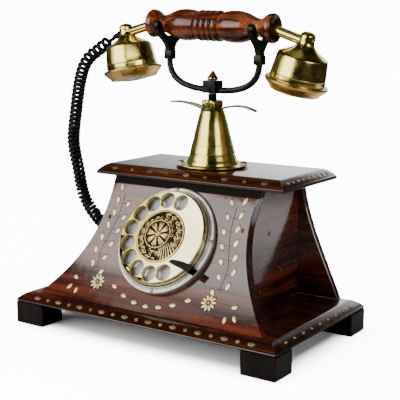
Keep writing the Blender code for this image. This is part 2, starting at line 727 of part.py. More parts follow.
def make_switch_and_board():
    top = BODY_TOP - GAP
    switch = box("hook_switch", (0.0016, 0.016, 0.034), "steel",
                 (0.0130, STAND_Y, top - 0.017))
    combine(switch, box_cutter("switch_shelf", (0.026, 0.016, 0.0016),
                               (0.0008, STAND_Y, top - 0.0332)), "UNION")
    combine(switch, box_cutter("switch_contacts", (0.014, 0.010, 0.0060),
                               (0, STAND_Y, PLUNGER_FOOT - GAP - 0.0030 - 0.0010)), "UNION")
    board_y = BACK_FACE_Y - BACK_THICKNESS - GAP - 0.0008
    board = box("network_board", (0.074, 0.0016, 0.042), "circuit", (0, board_y, 0.0950))
    combine(board, box_cutter("network_transformer", (0.018, 0.009, 0.016),
                              (-0.022, board_y - 0.0045, 0.092)), "UNION")
    box("terminal_block", (0.030, 0.008, 0.010), "enamel",
        (0.048, 0.0420, BASE_TOP + GAP + 0.005), bevel=0.0006)


# ------------------------------------------------------------------------ cord
def cord_route():
    """The coiled cord's centre line from the side grommet up to the transmitter's gland."""
    return [(-0.0741, STAND_Y, 0.0540), (-0.0860, STAND_Y, 0.0540),
            (-0.1020, STAND_Y, 0.0562), (-0.1271, STAND_Y, 0.0700),
            (-0.1451, STAND_Y + 0.001, 0.0898), (-0.1532, STAND_Y + 0.002, 0.1169),
            (-0.1580, STAND_Y + 0.002, 0.1418), (-0.1552, STAND_Y + 0.003, 0.1683),
            (-0.1485, STAND_Y + 0.003, 0.1993), (-0.1400, STAND_Y + 0.003, 0.2160),
            (-0.1255, STAND_Y + 0.003, 0.2262), (-0.1130, STAND_Y + 0.001, 0.2325),
            (-0.1050, STAND_Y, 0.2365)]


def make_cord():
    rod("coiled_cord", smooth_route(cord_route(), 22), CORD_RADIUS, "black_plastic")


def main():
    clear_scene()
    dial = guide("dial_frame", DIAL_CENTRE, (math.pi / 2 - DIAL_LEAN, 0, 0))
    make_base()
    make_body(dial)
    make_line_socket()
    make_grommet()
    make_wheel(dial)
    make_dial_case(dial)
    make_finger_stop(dial)
    make_stand()
    make_leaf_strip()
    make_nut()
    make_plunger()
    make_plunger_spring()
    make_cradle()
    make_handset()
    make_ringer()
    make_clapper()
    make_switch_and_board()
    make_cord()


main()
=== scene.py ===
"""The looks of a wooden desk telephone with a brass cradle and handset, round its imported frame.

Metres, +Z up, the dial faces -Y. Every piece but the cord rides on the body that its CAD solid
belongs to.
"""

import math

import bmesh
import bpy
import numpy as np
from mathutils import Matrix, Vector
from mathutils.geometry import tessellate_polygon


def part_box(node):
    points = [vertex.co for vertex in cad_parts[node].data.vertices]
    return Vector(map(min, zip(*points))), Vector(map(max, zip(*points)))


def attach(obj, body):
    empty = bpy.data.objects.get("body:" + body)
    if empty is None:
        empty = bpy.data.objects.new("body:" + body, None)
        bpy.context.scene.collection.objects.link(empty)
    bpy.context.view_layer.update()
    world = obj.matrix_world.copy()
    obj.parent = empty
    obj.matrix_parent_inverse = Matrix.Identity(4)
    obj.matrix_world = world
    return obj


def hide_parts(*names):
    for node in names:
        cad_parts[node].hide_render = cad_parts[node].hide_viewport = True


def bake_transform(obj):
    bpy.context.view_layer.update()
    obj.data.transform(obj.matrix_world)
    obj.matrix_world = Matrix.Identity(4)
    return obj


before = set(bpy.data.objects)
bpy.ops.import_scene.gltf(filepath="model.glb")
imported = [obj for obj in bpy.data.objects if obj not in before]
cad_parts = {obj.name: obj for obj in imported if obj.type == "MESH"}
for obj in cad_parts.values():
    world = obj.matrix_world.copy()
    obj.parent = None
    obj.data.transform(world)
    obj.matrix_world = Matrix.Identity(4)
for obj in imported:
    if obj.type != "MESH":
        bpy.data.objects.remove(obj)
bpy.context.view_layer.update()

MM = 0.001

# ------------------------------------------------------------ places of the parts
STAND_Y = 0.0305
BASE_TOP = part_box("base_board")[1].z

DIAL_CENTRE = Vector((0.0, -0.04295, 0.0835))
DIAL_LEAN = math.radians(31.9)
DIAL = Matrix.Translation(DIAL_CENTRE) @ Matrix.Rotation(math.pi / 2 - DIAL_LEAN, 4, "X")

CRADLE_LEAN = math.radians(2.0)
CRADLE = Matrix.Translation((0, STAND_Y, 0.195)) @ Matrix.Rotation(CRADLE_LEAN, 4, "Y")
HANDSET = Matrix.Translation((-0.001, STAND_Y, 0.2473)) @ Matrix.Rotation(CRADLE_LEAN, 4, "Y")
STAND = Matrix.Translation((0, STAND_Y, 0))
CAPSULE_X = 0.0914
CAPSULE_Z = -0.0014
CAPSULE_LEAN = math.radians(13.3)
KNOB_RADIUS = 0.0057

PANEL_Z = (BASE_TOP + 0.0003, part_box("front_panel")[1].z)
PANEL_FACE_Y = (-0.0673, -0.0414, -0.0297, -0.0098)
PANEL_HALF_WIDTH = (0.1097, 0.0756, 0.0669, 0.0728)
PANEL_THICKNESS = 0.0087
BACK_HALF_WIDTH = (0.1090, 0.0958, 0.0774, 0.0743)
BACK_FACE_Y = 0.0585
BACK_THICKNESS = 0.006


# ------------------------------------------------------------------ small helpers
def bezier(points, t):
    a, b, c, d = points
    s = 1 - t
    return a * s**3 + 3 * b * t * s**2 + 3 * c * t**2 * s + d * t**3


def bezier_slope(points, t):
    a, b, c, d = points
    s = 1 - t
    return 3 * ((b - a) * s**2 + 2 * (c - b) * s * t + (d - c) * t**2)


def spline(points, per):
    """Points on a Catmull-Rom curve through the given ones, with per steps in each stretch."""
    knots = [Vector(p) for p in points]
    knots = [2 * knots[0] - knots[1], *knots, 2 * knots[-1] - knots[-2]]
    out = []
    for i in range(1, len(knots) - 2):
        p0, p1, p2, p3 = knots[i - 1:i + 3]
        for k in range(per):
            t = k / per
            out.append(0.5 * (2 * p1 + (p2 - p0) * t + (2 * p0 - 5 * p1 + 4 * p2 - p3) * t**2
                              + (3 * p1 - p0 - 3 * p2 + p3) * t**3))
    out.append(knots[-2])
    return out


def softened(profile, radius, ring=False, steps=4):
    """The profile with each corner rounded off by up to that radius."""
    points = [Vector(p) for p in profile]
    count = len(points)
    out = []
    for i, corner in enumerate(points):
        if not ring and i in (0, count - 1):
            out.append(corner)
            continue
        before = points[i - 1] - corner
        after = points[(i + 1) % count] - corner
        reach = min(radius, 0.42 * before.length, 0.42 * after.length)
        start = corner + before.normalized() * reach
        end = corner + after.normalized() * reach
        for k in range(steps + 1):
            t = k / steps
            out.append(start * (1 - t)**2 + corner * 2 * t * (1 - t) + end * t**2)
    return out


def new_piece(name, verts, faces, material, matrix=Matrix(), sharp=35.0):
    """A mesh object in the row frame, with its normals out and its round parts shaded smooth."""
    mesh = bpy.data.meshes.new(name)
    mesh.from_pydata([tuple(matrix @ Vector(v)) for v in verts], [], faces)
    bm = bmesh.new()
    bm.from_mesh(mesh)
    bmesh.ops.recalc_face_normals(bm, faces=bm.faces)
    bm.to_mesh(mesh)
    bm.free()
    mesh.shade_smooth()
    mesh.set_sharp_from_angle(angle=math.radians(sharp))
    mesh.materials.append(material)
    obj = bpy.data.objects.new(name, mesh)
    bpy.context.scene.collection.objects.link(obj)
    return obj


def turned(name, profile, material, matrix=Matrix(), steps=96, ring=False, shape=None, sharp=35.0):
    """Turns (radius, height) points about local Z. shape may change (radius, height) by angle."""
    verts, faces, rings = [], [], []
    for radius, height in profile:
        if radius < 1e-7:
            rings.append([len(verts)] * steps)
            verts.append((0, 0, height))
            continue
        rings.append(list(range(len(verts), len(verts) + steps)))
        for k in range(steps):
            angle = 2 * math.pi * k / steps
            r, z = shape(radius, height, angle) if shape else (radius, height)
            verts.append((r * math.cos(angle), r * math.sin(angle), z))
    pairs = list(zip(rings, rings[1:]))
    if ring:
        pairs.append((rings[-1], rings[0]))
    for upper, lower in pairs:
        for k in range(steps):
            j = (k + 1) % steps
            corners = [upper[k], upper[j], lower[j], lower[k]]
            face = list(dict.fromkeys(corners))
            if len(face) > 2:
                faces.append(face)
    return new_piece(name, verts, faces, material, matrix, sharp)


def block(name, centre, size, soft, material, matrix=Matrix()):
    """A rectangular block, with rounded edges unless soft is 0."""
    bm = bmesh.new()
    scale = Matrix.Diagonal((*size, 1))
    bmesh.ops.create_cube(bm, size=1.0, matrix=Matrix.Translation(centre) @ scale)
    if soft:
        bmesh.ops.bevel(bm, geom=bm.edges[:], offset=soft, segments=3, profile=0.5,
                        affect="EDGES")
    verts = [v.co.copy() for v in bm.verts]
    faces = [[v.index for v in f.verts] for f in bm.faces]
    bm.free()
    return new_piece(name, verts, faces, material, matrix)


def swept(name, route, radius, material, sides=10, matrix=Matrix()):
    """A round tube along close route points."""
    points = [Vector(p) for p in route]
    tangent = (points[1] - points[0]).normalized()
    side = tangent.orthogonal().normalized()
    verts, faces = [], []
    for i, point in enumerate(points):
        ahead = points[min(i + 1, len(points) - 1)] - points[max(i - 1, 0)]
        tangent = ahead.normalized()
        side = (side - tangent * side.dot(tangent)).normalized()
        up = tangent.cross(side)
        for k in range(sides):
            angle = 2 * math.pi * k / sides
            verts.append(point + radius * (side * math.cos(angle) + up * math.sin(angle)))
    for i in range(len(points) - 1):
        for k in range(sides):
            j = (k + 1) % sides
            a, b = i * sides, (i + 1) * sides
            faces.append((a + k, a + j, b + j, b + k))
    faces.append(tuple(range(sides)))
    faces.append(tuple(reversed(range(len(verts) - sides, len(verts)))))
    return new_piece(name, verts, faces, material, matrix, 50.0)


def stands_for(obj, body, slot, *nodes):
    """The piece rides on the body and hides the nodes. slot is not used."""
    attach(obj, body)
    if nodes:
        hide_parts(*nodes)
    return obj


def cut(obj, tool):
    """Cuts the tool out of the piece, then removes the tool."""
    mod = obj.modifiers.new("cut", "BOOLEAN")
    mod.operation = "DIFFERENCE"
    mod.solver = "EXACT"
    mod.object = tool
    graph = bpy.context.evaluated_depsgraph_get()
    mesh = bpy.data.meshes.new_from_object(obj.evaluated_get(graph))
    obj.modifiers.clear()
    obj.data = mesh
    mesh.set_sharp_from_angle(angle=math.radians(30))
    bpy.data.objects.remove(tool)


# --------------------------------------------------------------------- materials
class Nodes:
    """Adds nodes to a material's or a world's tree. Its helpers return sockets to link on."""

    def __init__(self, tree, coordinate):
        self.tree = tree
        self.place = tree.nodes.new("ShaderNodeTexCoord").outputs[coordinate]

    def node(self, kind, inputs, **settings):
        made = self.tree.nodes.new(kind)
        for key, value in settings.items():
            setattr(made, key, value)
        for key, value in inputs.items():
            if isinstance(value, bpy.types.NodeSocket):
                self.tree.links.new(value, made.inputs[key])
            else:
                made.inputs[key].default_value = value
        return made

    def part(self, name):
        """One component of the place: X, Y or Z."""
        return self.node("ShaderNodeSeparateXYZ", {0: self.place}).outputs[name]

    def mapped(self, scale):
        return self.node("ShaderNodeMapping", {"Vector": self.place, "Scale": scale}).outputs[0]

    def noise(self, scale, detail=3.0, distortion=0.0, rough=0.55, vector=None):
        return self.node("ShaderNodeTexNoise",
                         {"Vector": vector or self.place, "Scale": scale, "Detail": detail,
                          "Roughness": rough, "Distortion": distortion}).outputs["Fac"]

    def ramp(self, value, stops):
        made = self.node("ShaderNodeValToRGB", {"Fac": value})
        marks = made.color_ramp.elements
        while len(marks) < len(stops):
            marks.new(0.5)
        for mark, (place, colour) in zip(marks, stops):
            mark.position = place
            shade = colour if isinstance(colour, tuple) else (colour,) * 3
            mark.color = (*shade, 1)
        return made.outputs["Color"]

    def range(self, value, low, high, start=0.3, end=0.7):
        return self.node("ShaderNodeMapRange", {"Value": value, "From Min": start, "From Max": end,
                                                "To Min": low, "To Max": high}).outputs[0]

    def mix(self, share, a, b, kind="MIX"):
        made = self.node("ShaderNodeMix", {"Factor": share}, data_type="RGBA", blend_type=kind)
        for key, value in (("A", a), ("B", b)):
            socket = [s for s in made.inputs if s.name == key and s.type == "RGBA"][0]
            if isinstance(value, bpy.types.NodeSocket):
                self.tree.links.new(value, socket)
            else:
                socket.default_value = (*value, 1)
        return [s for s in made.outputs if s.type == "RGBA"][0]

    def math(self, operation, a, b):
        return self.node("ShaderNodeMath", {0: a, 1: b}, operation=operation).outputs[0]

    def bump(self, height, distance, strength=1.0, under=None):
        inputs = {"Height": height, "Distance": distance, "Strength": strength}
        if under:
            inputs["Normal"] = under
        return self.node("ShaderNodeBump", inputs).outputs["Normal"]

    def seen_apart(self, output, others, camera):
        """Shows the camera one shader, and everything else another."""
        path = self.node("ShaderNodeLightPath", {}).outputs["Is Camera Ray"]
        mix = self.node("ShaderNodeMixShader", {0: path, 1: others, 2: camera})
        self.tree.links.new(mix.outputs[0], self.tree.nodes[output].inputs["Surface"])


class Finish(Nodes):
    """A procedural material in object coordinates."""

    def __init__(self, name, colour, roughness, metallic=0.0, **sockets):
        self.material = bpy.data.materials.new(name)
        self.material.use_nodes = True
        super().__init__(self.material.node_tree, "Object")
        self.shader = self.tree.nodes["Principled BSDF"]
        self.shader.inputs["Base Color"].default_value = (*colour, 1)
        self.shader.inputs["Roughness"].default_value = roughness
        self.shader.inputs["Metallic"].default_value = metallic
        for socket, value in sockets.items():
            self.shader.inputs[socket.replace("_", " ")].default_value = value

    def use(self, **links):
        for socket, value in links.items():
            self.tree.links.new(value, self.shader.inputs[socket.replace("_", " ")])
        return self.material


def wood(name, along, tones, roughness=0.34, coat_roughness=0.06, gloss=1.0, painted_shade_above=None,
         thin_below=0.0):
    """Lacquered wood: streaked grain along one axis, pores, and a slightly wavy clear coat.

    Above the given height: painted shade, near black and unlacquered; below thin_below, little is
    left.
    """
    dark, middle, light = tones
    finish = Finish(name, middle, roughness, Specular_IOR_Level=0.08, Coat_Weight=gloss,
                    Coat_Roughness=coat_roughness, Coat_IOR=2.0)
    across, lengthwise = 150.0, 9.0
    scale = [across, across, across]
    scale["XYZ".index(along)] = lengthwise
    tight = [4.5 * s for s in scale]
    broad = finish.noise(0.32, 4.0, 1.1, vector=finish.mapped(scale))
    streak = finish.noise(1.0, 6.0, 0.6, 0.62, finish.mapped(scale))
    pore = finish.noise(1.0, 2.0, 0.0, 0.5, finish.mapped(tight))
    figure = finish.ramp(streak, [(0.34, dark), (0.47, middle), (0.60, light), (0.72, middle)])
    shaded = finish.mix(finish.range(broad, 0.0, 0.75, 0.42, 0.62), figure, dark)
    pores = finish.ramp(pore, [(0.30, 0.25), (0.42, 1.0)])
    colour = finish.mix(0.7, shaded, pores, "MULTIPLY")
    waves = finish.noise(70.0, 2.0)
    coat = finish.bump(finish.noise(900.0, 2.0), 0.00003, 0.5, finish.bump(waves, 0.00022, 0.5))
    grain = finish.bump(streak, 0.00012, 0.6)
    smear = finish.range(finish.noise(110.0, 4.0), roughness - 0.08, roughness + 0.12)
    # painted shade: above that height the panel is painted near black without lacquer, for the
    # shadow under the top board
    if painted_shade_above:
        height = finish.part("Z")
        painted_shade_band = finish.range(height, 0.0, 1.0, painted_shade_above, painted_shade_above + 0.0006)
        colour = finish.mix(painted_shade_band, colour, (0.004, 0.002, 0.001))
        worn = finish.math("ADD", height, finish.range(broad, -0.006, 0.006))
        lacquer = finish.range(worn, 0.2 * gloss, gloss, thin_below - 0.018, thin_below)
        outside_painted_shade = finish.math("SUBTRACT", 1.0, painted_shade_band)
        finish.use(Coat_Weight=finish.math("MULTIPLY", lacquer, outside_painted_shade))
    return finish.use(Base_Color=colour, Roughness=smear, Normal=grain, Coat_Normal=coat)


def brass(name, bright, tarnished, roughness=0.14, tarnish=0.35, brush=(900, 900, 90),
          left_painted_shade=0.0):
    """Brass with cloudy tarnish, smudges and fine brush marks; it may be painted darker on its
    left: painted shade.
    """
    finish = Finish(name, bright, roughness, 1.0)
    cloud = finish.noise(75.0, 5.0, 0.4)
    spots = finish.noise(420.0, 3.0)
    stain_and_shade = finish.range(cloud, 0.0, tarnish, 0.42, 0.72)
    # painted shade: the colour goes darker towards the left side
    if left_painted_shade:
        left = finish.range(finish.part("X"), left_painted_shade, 0.0, -0.022, 0.014)
        stain_and_shade = finish.math("MAXIMUM", stain_and_shade, left)
    colour = finish.mix(stain_and_shade, bright, tarnished)
    speck = finish.ramp(spots, [(0.26, 0.45), (0.36, 1.0)])
    colour = finish.mix(0.5, colour, speck, "MULTIPLY")
    marks = finish.noise(1.0, 3.0, 0.0, 0.6, finish.mapped(brush))
    smudge = finish.noise(160.0, 4.0, 0.3)
    rough = finish.math("ADD", finish.range(smudge, roughness - 0.05, roughness + 0.12),
                        finish.range(marks, -0.03, 0.05))
    return finish.use(Base_Color=colour, Roughness=rough, Normal=finish.bump(marks, 0.00003, 0.35))


def cast_bronze():
    """Blackened bronze: dark green-black with brown wear and a fine cast skin."""
    finish = Finish("dark_bronze", (0.012, 0.016, 0.012), 0.28, 0.75)
    cloud = finish.noise(120.0, 5.0, 0.5)
    colour = finish.ramp(cloud, [(0.35, (0.003, 0.006, 0.004)), (0.5, (0.010, 0.015, 0.011)),
                                 (0.64, (0.034, 0.027, 0.016)), (0.75, (0.010, 0.016, 0.011))])
    skin = finish.noise(1400.0, 3.0)
    rough = finish.range(cloud, 0.18, 0.38)
    return finish.use(Base_Color=colour, Roughness=rough, Normal=finish.bump(skin, 0.00004, 0.4))


def metal(name, colour, roughness, grain=1200.0):
    """Machined metal with faint turning marks and uneven sheen."""
    finish = Finish(name, colour, roughness, 1.0)
    marks = finish.noise(grain, 2.0)
    cloud = finish.noise(140.0, 4.0)
    dull = tuple(0.75 * c for c in colour)
    shade = finish.mix(finish.range(cloud, 0.0, 1.0, 0.4, 0.65), colour, dull)
    rough = finish.range(cloud, roughness - 0.06, roughness + 0.14)
    return finish.use(Base_Color=shade, Roughness=rough, Normal=finish.bump(marks, 0.00002, 0.4))


def moulded(name, colour, roughness, grain=1500.0, depth=0.00003, sheen=0.5):
    """Moulded plastic, rubber or enamel with a fine skin and slight handling marks."""
    finish = Finish(name, colour, roughness, Specular_IOR_Level=sheen)
    skin = finish.noise(grain, 3.0)
    marks = finish.noise(210.0, 4.0)
    shade = finish.mix(finish.range(marks, 0.0, 0.35, 0.45, 0.75), colour,
                       tuple(min(1.0, 1.8 * c + 0.01) for c in colour))
    rough = finish.range(marks, roughness - 0.07, roughness + 0.12)
    return finish.use(Base_Color=shade, Roughness=rough, Normal=finish.bump(skin, depth, 0.5))


def relief_brass():
    """Gilt cast brass whose hollows are dark: the mesh carries its own depth."""
    finish = Finish("relief_brass", (0.75, 0.56, 0.26), 0.25, 1.0)
    depth = finish.node("ShaderNodeAttribute", {}, attribute_name="relief").outputs["Fac"]
    cloud = finish.noise(420.0, 4.0)
    level = finish.math("ADD", depth, finish.range(cloud, -0.10, 0.10))
    colour = finish.ramp(level, [(0.12, (0.012, 0.009, 0.004)), (0.32, (0.17, 0.10, 0.03)),
                                 (0.55, (0.62, 0.45, 0.16)), (0.90, (0.92, 0.80, 0.42))])
    rough = finish.range(level, 0.5, 0.20, 0.2, 0.8)
    return finish.use(Base_Color=colour, Roughness=rough,
                      Normal=finish.bump(finish.noise(2600.0, 2.0), 0.00003, 0.4))


ROSE_TONES = ((0.010, 0.0018, 0.0008), (0.042, 0.0060, 0.0018), (0.120, 0.020, 0.0050))
PANEL_TONES = ((0.010, 0.0018, 0.0008), (0.048, 0.0066, 0.0020), (0.125, 0.021, 0.0050))
SIDE_TONES = ((0.014, 0.0026, 0.0014), (0.100, 0.0170, 0.0060), (0.240, 0.050, 0.0150))
HANDLE_TONES = ((0.014, 0.0024, 0.0011), (0.110, 0.0170, 0.0050), (0.370, 0.0980, 0.0270))
FOOT_TONES = ((0.002, 0.0014, 0.001), (0.004, 0.002, 0.0014), (0.012, 0.004, 0.0025))

# the top 5.8 mm of the front panel are painted near black: painted shade under the top board
PANEL_WOOD = wood("panel_rosewood", "X", PANEL_TONES, coat_roughness=0.08, gloss=0.85,
                  painted_shade_above=PANEL_Z[1] - 0.0058, thin_below=0.056)
BOARD_WOOD = wood("board_rosewood", "X", ROSE_TONES)
SIDE_WOOD = wood("side_rosewood", "Y", SIDE_TONES, coat_roughness=0.12)
HANDLE_WOOD = wood("handle_rosewood", "X", HANDLE_TONES, coat_roughness=0.07, gloss=0.45)
END_WOOD = wood("handle_end_grain", "Z", ROSE_TONES, 0.34, 0.16, 0.3)
FOOT_WOOD = wood("foot_wood", "Z", FOOT_TONES, 0.42, 0.18, 0.1)
POLISHED = brass("polished_brass", (0.92, 0.77, 0.17), (0.56, 0.41, 0.07), 0.12, 0.40)
# the finger wheel is painted darker towards its left: painted shade
WHEEL_BRASS = brass("wheel_brass", (0.96, 0.88, 0.46), (0.46, 0.37, 0.05), 0.15, 0.15,
                    (60, 900, 900), 0.85)
OLD_BRASS = brass("old_brass", (1.0, 0.64, 0.20), (0.60, 0.28, 0.07), 0.26, 0.6)
LEAF_BRASS = brass("leaf_brass", (0.22, 0.20, 0.09), (0.05, 0.04, 0.02), 0.24, 0.8)
INLAY_BRASS = brass("inlay_brass", (0.94, 0.80, 0.38), (0.72, 0.50, 0.17), 0.34, 0.5)
RELIEF = relief_brass()
BRONZE = cast_bronze()
STEEL = metal("steel", (0.56, 0.57, 0.56), 0.28)
BLUED = metal("blued_steel", (0.010, 0.013, 0.013), 0.30)
ALLOY = metal("dial_alloy", (0.78, 0.78, 0.70), 0.40, 900.0)
COPPER = metal("copper_winding", (0.72, 0.30, 0.14), 0.35)
ENAMEL = moulded("plate_enamel", (0.42, 0.41, 0.46), 0.22)
WHITE = moulded("white_plastic", (0.84, 0.84, 0.82), 0.30)
BLACK = moulded("black_plastic", (0.010, 0.010, 0.011), 0.34)
RUBBER = moulded("black_rubber", (0.014, 0.014, 0.015), 0.62, 900.0, 0.00006)
JACKET = moulded("cord_jacket", (0.002, 0.003, 0.004), 0.27, 1100.0, 0.00002, 0.25)
BOARD_GREEN = moulded("circuit_board", (0.04, 0.14, 0.05), 0.45)
# dark filler for the inlays' lines and beds; on the boards' steep lip faces it is painted shade
GROOVE_AND_SHADE = moulded("groove_filler", (0.012, 0.006, 0.005), 0.5)


# ------------------------------------------------------------------------ camera
def compass_direction(azimuth, elevation):
    """Unit vector for degrees clockwise from the front, seen from above, and degrees up."""
    a, e = math.radians(azimuth), math.radians(elevation)
    return Vector((math.sin(a) * math.cos(e), -math.cos(a) * math.cos(e), math.sin(e)))


def make_camera():
    target, distance = Vector((0, STAND_Y, 0.100)), 0.80986
    back = compass_direction(34.008, 10.531)
    right = (-back).cross(Vector((0, 0, 1))).normalized()
    up = right.cross(-back)
    data = bpy.data.cameras.new("camera")
    camera = bpy.data.objects.new("camera", data)
    bpy.context.scene.collection.objects.link(camera)
    turn = Matrix((right, up, back)).transposed().to_4x4()
    camera.matrix_world = Matrix.Translation(target + back * distance) @ turn
    data.sensor_width = 36.0
    data.lens = 85.63
    data.shift_x = -0.0311
    data.shift_y = 0.0042
    bpy.context.scene.camera = camera


# -------------------------------------------------------------------------- cord
CORD_ROUTE = [(-0.0741, STAND_Y, 0.0540), (-0.0860, STAND_Y, 0.0540),
              (-0.1020, STAND_Y, 0.0562), (-0.1271, STAND_Y, 0.0700),
              (-0.1451, STAND_Y + 0.001, 0.0898), (-0.1532, STAND_Y + 0.002, 0.1169),
              (-0.1580, STAND_Y + 0.002, 0.1418), (-0.1552, STAND_Y + 0.003, 0.1683),
              (-0.1485, STAND_Y + 0.003, 0.1993), (-0.1400, STAND_Y + 0.003, 0.2160),
              (-0.1255, STAND_Y + 0.003, 0.2262), (-0.1130, STAND_Y + 0.001, 0.2325),
              (-0.1050, STAND_Y, 0.2365)]
CORD_WIRE = 0.0035
COIL_RADIUS = 0.0044
COIL_PITCH = 0.0040
COIL_LEAN = Vector((-0.26, 0.38, 0.0))
TURN_POINTS = 16


def smoothstep(low, high, value):
    t = min(1.0, max(0.0, (value - low) / (high - low)))
    return t * t * (3 - 2 * t)


def cord_helix():
    """The wire's centre line: a helix round the route, with looser turns near the gland."""
    centre = spline(CORD_ROUTE, 24)
    run = [0.0]
    for a, b in zip(centre, centre[1:]):
        run.append(run[-1] + (b - a).length)
    total = run[-1]
    tangent = (centre[1] - centre[0]).normalized()
    side = tangent.orthogonal().normalized()
    frames = []
    for i, point in enumerate(centre):
        ahead = centre[min(i + 1, len(centre) - 1)] - centre[max(i - 1, 0)]
        tangent = ahead.normalized()
        side = (side - tangent * side.dot(tangent)).normalized()
        frames.append((point, side.copy(), tangent.cross(side)))
    wire = []
    s, angle, k = 0.0, 0.0, 0
    while s < total:
        while k < len(run) - 2 and run[k + 1] < s:
            k += 1
        part = (s - run[k]) / (run[k + 1] - run[k])
        point = frames[k][0].lerp(frames[k + 1][0], part)
        a = frames[k][1].lerp(frames[k + 1][1], part)
        b = frames[k][2].lerp(frames[k + 1][2], part)
        rest = total - s
        lean = COIL_LEAN * (0.55 + 0.45 * smoothstep(0.020, 0.070, rest))
        lean *= smoothstep(0.040, 0.120, s)
        radius = COIL_RADIUS * smoothstep(0.001, 0.010, s) * smoothstep(0.0055, 0.0115, rest)
        spoke = radius * (a * math.cos(angle) + b * math.sin(angle))
        wire.append(point + spoke + a.cross(b) * spoke.dot(lean))
        loose = 1 - smoothstep(0.016, 0.060, rest)
        pitch = COIL_PITCH * (1 + 0.75 * loose) * (1 + 0.05 * math.sin(31 * s / total))
        s += pitch / TURN_POINTS
        angle += 2 * math.pi / TURN_POINTS
    return wire


def make_cord():
    wire = cord_helix()
    cord = swept("coiled_cord_wire", wire, CORD_WIRE / 2, JACKET, 10)
    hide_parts("coiled_cord")
    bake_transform(cord)


make_camera()
make_cord()


# ------------------------------------------------------------------ wooden boards
def rectangle_loop(half_x, half_y):
    """Points round a rectangle with small round corners, about the origin."""
    corner, steps = 0.0007, 3
    points = []
    for quarter in range(4):
        sx = 1 if quarter in (0, 3) else -1
        sy = 1 if quarter in (0, 1) else -1
        for k in range(steps + 1):
            angle = math.pi / 2 * (quarter + k / steps)
            points.append((sx * (half_x - corner) + corner * math.cos(angle),
                           sy * (half_y - corner) + corner * math.sin(angle)))
    return points


def board(name, half_x, half_y, centre, profile, material):
    """A solid board from (inset, height) points that run from its underside to its top."""
    verts, faces = [], []
    cx, cy = centre
    for inset, height in profile:
        verts += [(cx + x, cy + y, height)
                  for x, y in rectangle_loop(half_x - inset, half_y - inset)]
    count = len(verts) // len(profile)
    for level in range(len(profile) - 1):
        for k in range(count):
            j = (k + 1) % count
            a, b = level * count, (level + 1) * count
            faces.append((a + k, a + j, b + j, b + k))
    faces.append(tuple(reversed(range(count))))
    faces.append(tuple(range(len(verts) - count, len(verts))))
    return new_piece(name, verts, faces, material, sharp=40.0)


def moulding(foot, lip, rise, inset):
    """The stepped and rounded edge of a board, as (inset, height) from its underside up."""
    nose, nose_steps, bevel_steps = 0.0009, 6, 14
    points = [(0.0006, foot), (0.0001, foot + 0.0004), (0.0, foot + lip - 0.0006)]
    for k in range(1, nose_steps):
        a = math.pi / 2 * k / nose_steps
        points.append((nose * (1 - math.cos(a)), foot + lip - 0.0006 + nose * math.sin(a)))
    for k in range(1, bevel_steps + 1):
        s = 0.08 + 0.92 * k / bevel_steps
        points.append((inset * s, foot + lip + rise * (1 - (1 - s)**BEVEL_POWER)))
    return points


# the height of each board's lip, and the rise and inset of the bevel over it
BEVELS = {"base_board": (0.0014, 0.0060, 0.0100), "top_board": (0.0027, 0.0063, 0.0094)}
BEVEL_POWER = 1.6


def make_boards():
    for node, bevel in BEVELS.items():
        low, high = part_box(node)
        centre = ((low.x + high.x) / 2, (low.y + high.y) / 2)
        made = board(f"{node}_moulded", (high.x - low.x) / 2, (high.y - low.y) / 2, centre,
                     moulding(low.z, *bevel), BOARD_WOOD)
        made.data.materials.append(GROOVE_AND_SHADE)
        # the boards' steep lip faces are painted near black: painted shade
        for face in made.data.polygons:
            face.material_index = int(abs(face.normal.z) < 0.35)
        stands_for(made, "base", "lacquered_rosewood", node)


def sheet_solid(name, half_width, front, back, material, columns=72):
    """A standing board between two faces: each is y by share of the height, as is half_width."""
    verts, faces = [], []
    low, high = PANEL_Z
    edge, rows = 0.0006, 60

    def grid(face, pull):
        start = len(verts)
        for i in range(rows + 1):
            t = i / rows
            half = half_width(t) - pull
            for k in range(columns + 1):
                x = half * (2 * k / columns - 1)
                verts.append((x, face(t), low + t * (high - low)))
        return start

    width = columns + 1
    fronts = grid(front, edge)
    backs = grid(back, edge)
    for i in range(rows):
        for k in range(columns):
            a = i * width + k
            faces.append((fronts + a, fronts + a + 1, fronts + a + width + 1, fronts + a + width))
            faces.append((backs + a, backs + a + width, backs + a + width + 1, backs + a + 1))
    rims = []
    for side in (-1, 1):
        column = 0 if side < 0 else columns
        lines = []
        for face, lift in ((front, edge), (back, -edge)):
            lines.append(range(len(verts), len(verts) + rows + 1))
            for i in range(rows + 1):
                t = i / rows
                verts.append((side * half_width(t), face(t) + lift, low + t * (high - low)))
        rims.append(lines)
        front_line, back_line = ([start + i * width + column for i in range(rows + 1)]
                                 for start in (fronts, backs))
        chain = [front_line, *lines, back_line]
        for first, second in zip(chain, chain[1:]):
            for i in range(rows):
                quad = (first[i], second[i], second[i + 1], first[i + 1])
                faces.append(quad if side < 0 else tuple(reversed(quad)))
    for level in (0, rows):
        loop = [fronts + level * width + k for k in range(width)]
        loop += [line[level] for line in rims[1]]
        loop += [backs + level * width + k for k in reversed(range(width))]
        loop += [line[level] for line in reversed(rims[0])]
        faces.append(tuple(loop))
    return new_piece(name, verts, faces, material, sharp=40.0)


def face_y(t):
    return bezier(PANEL_FACE_Y, t)


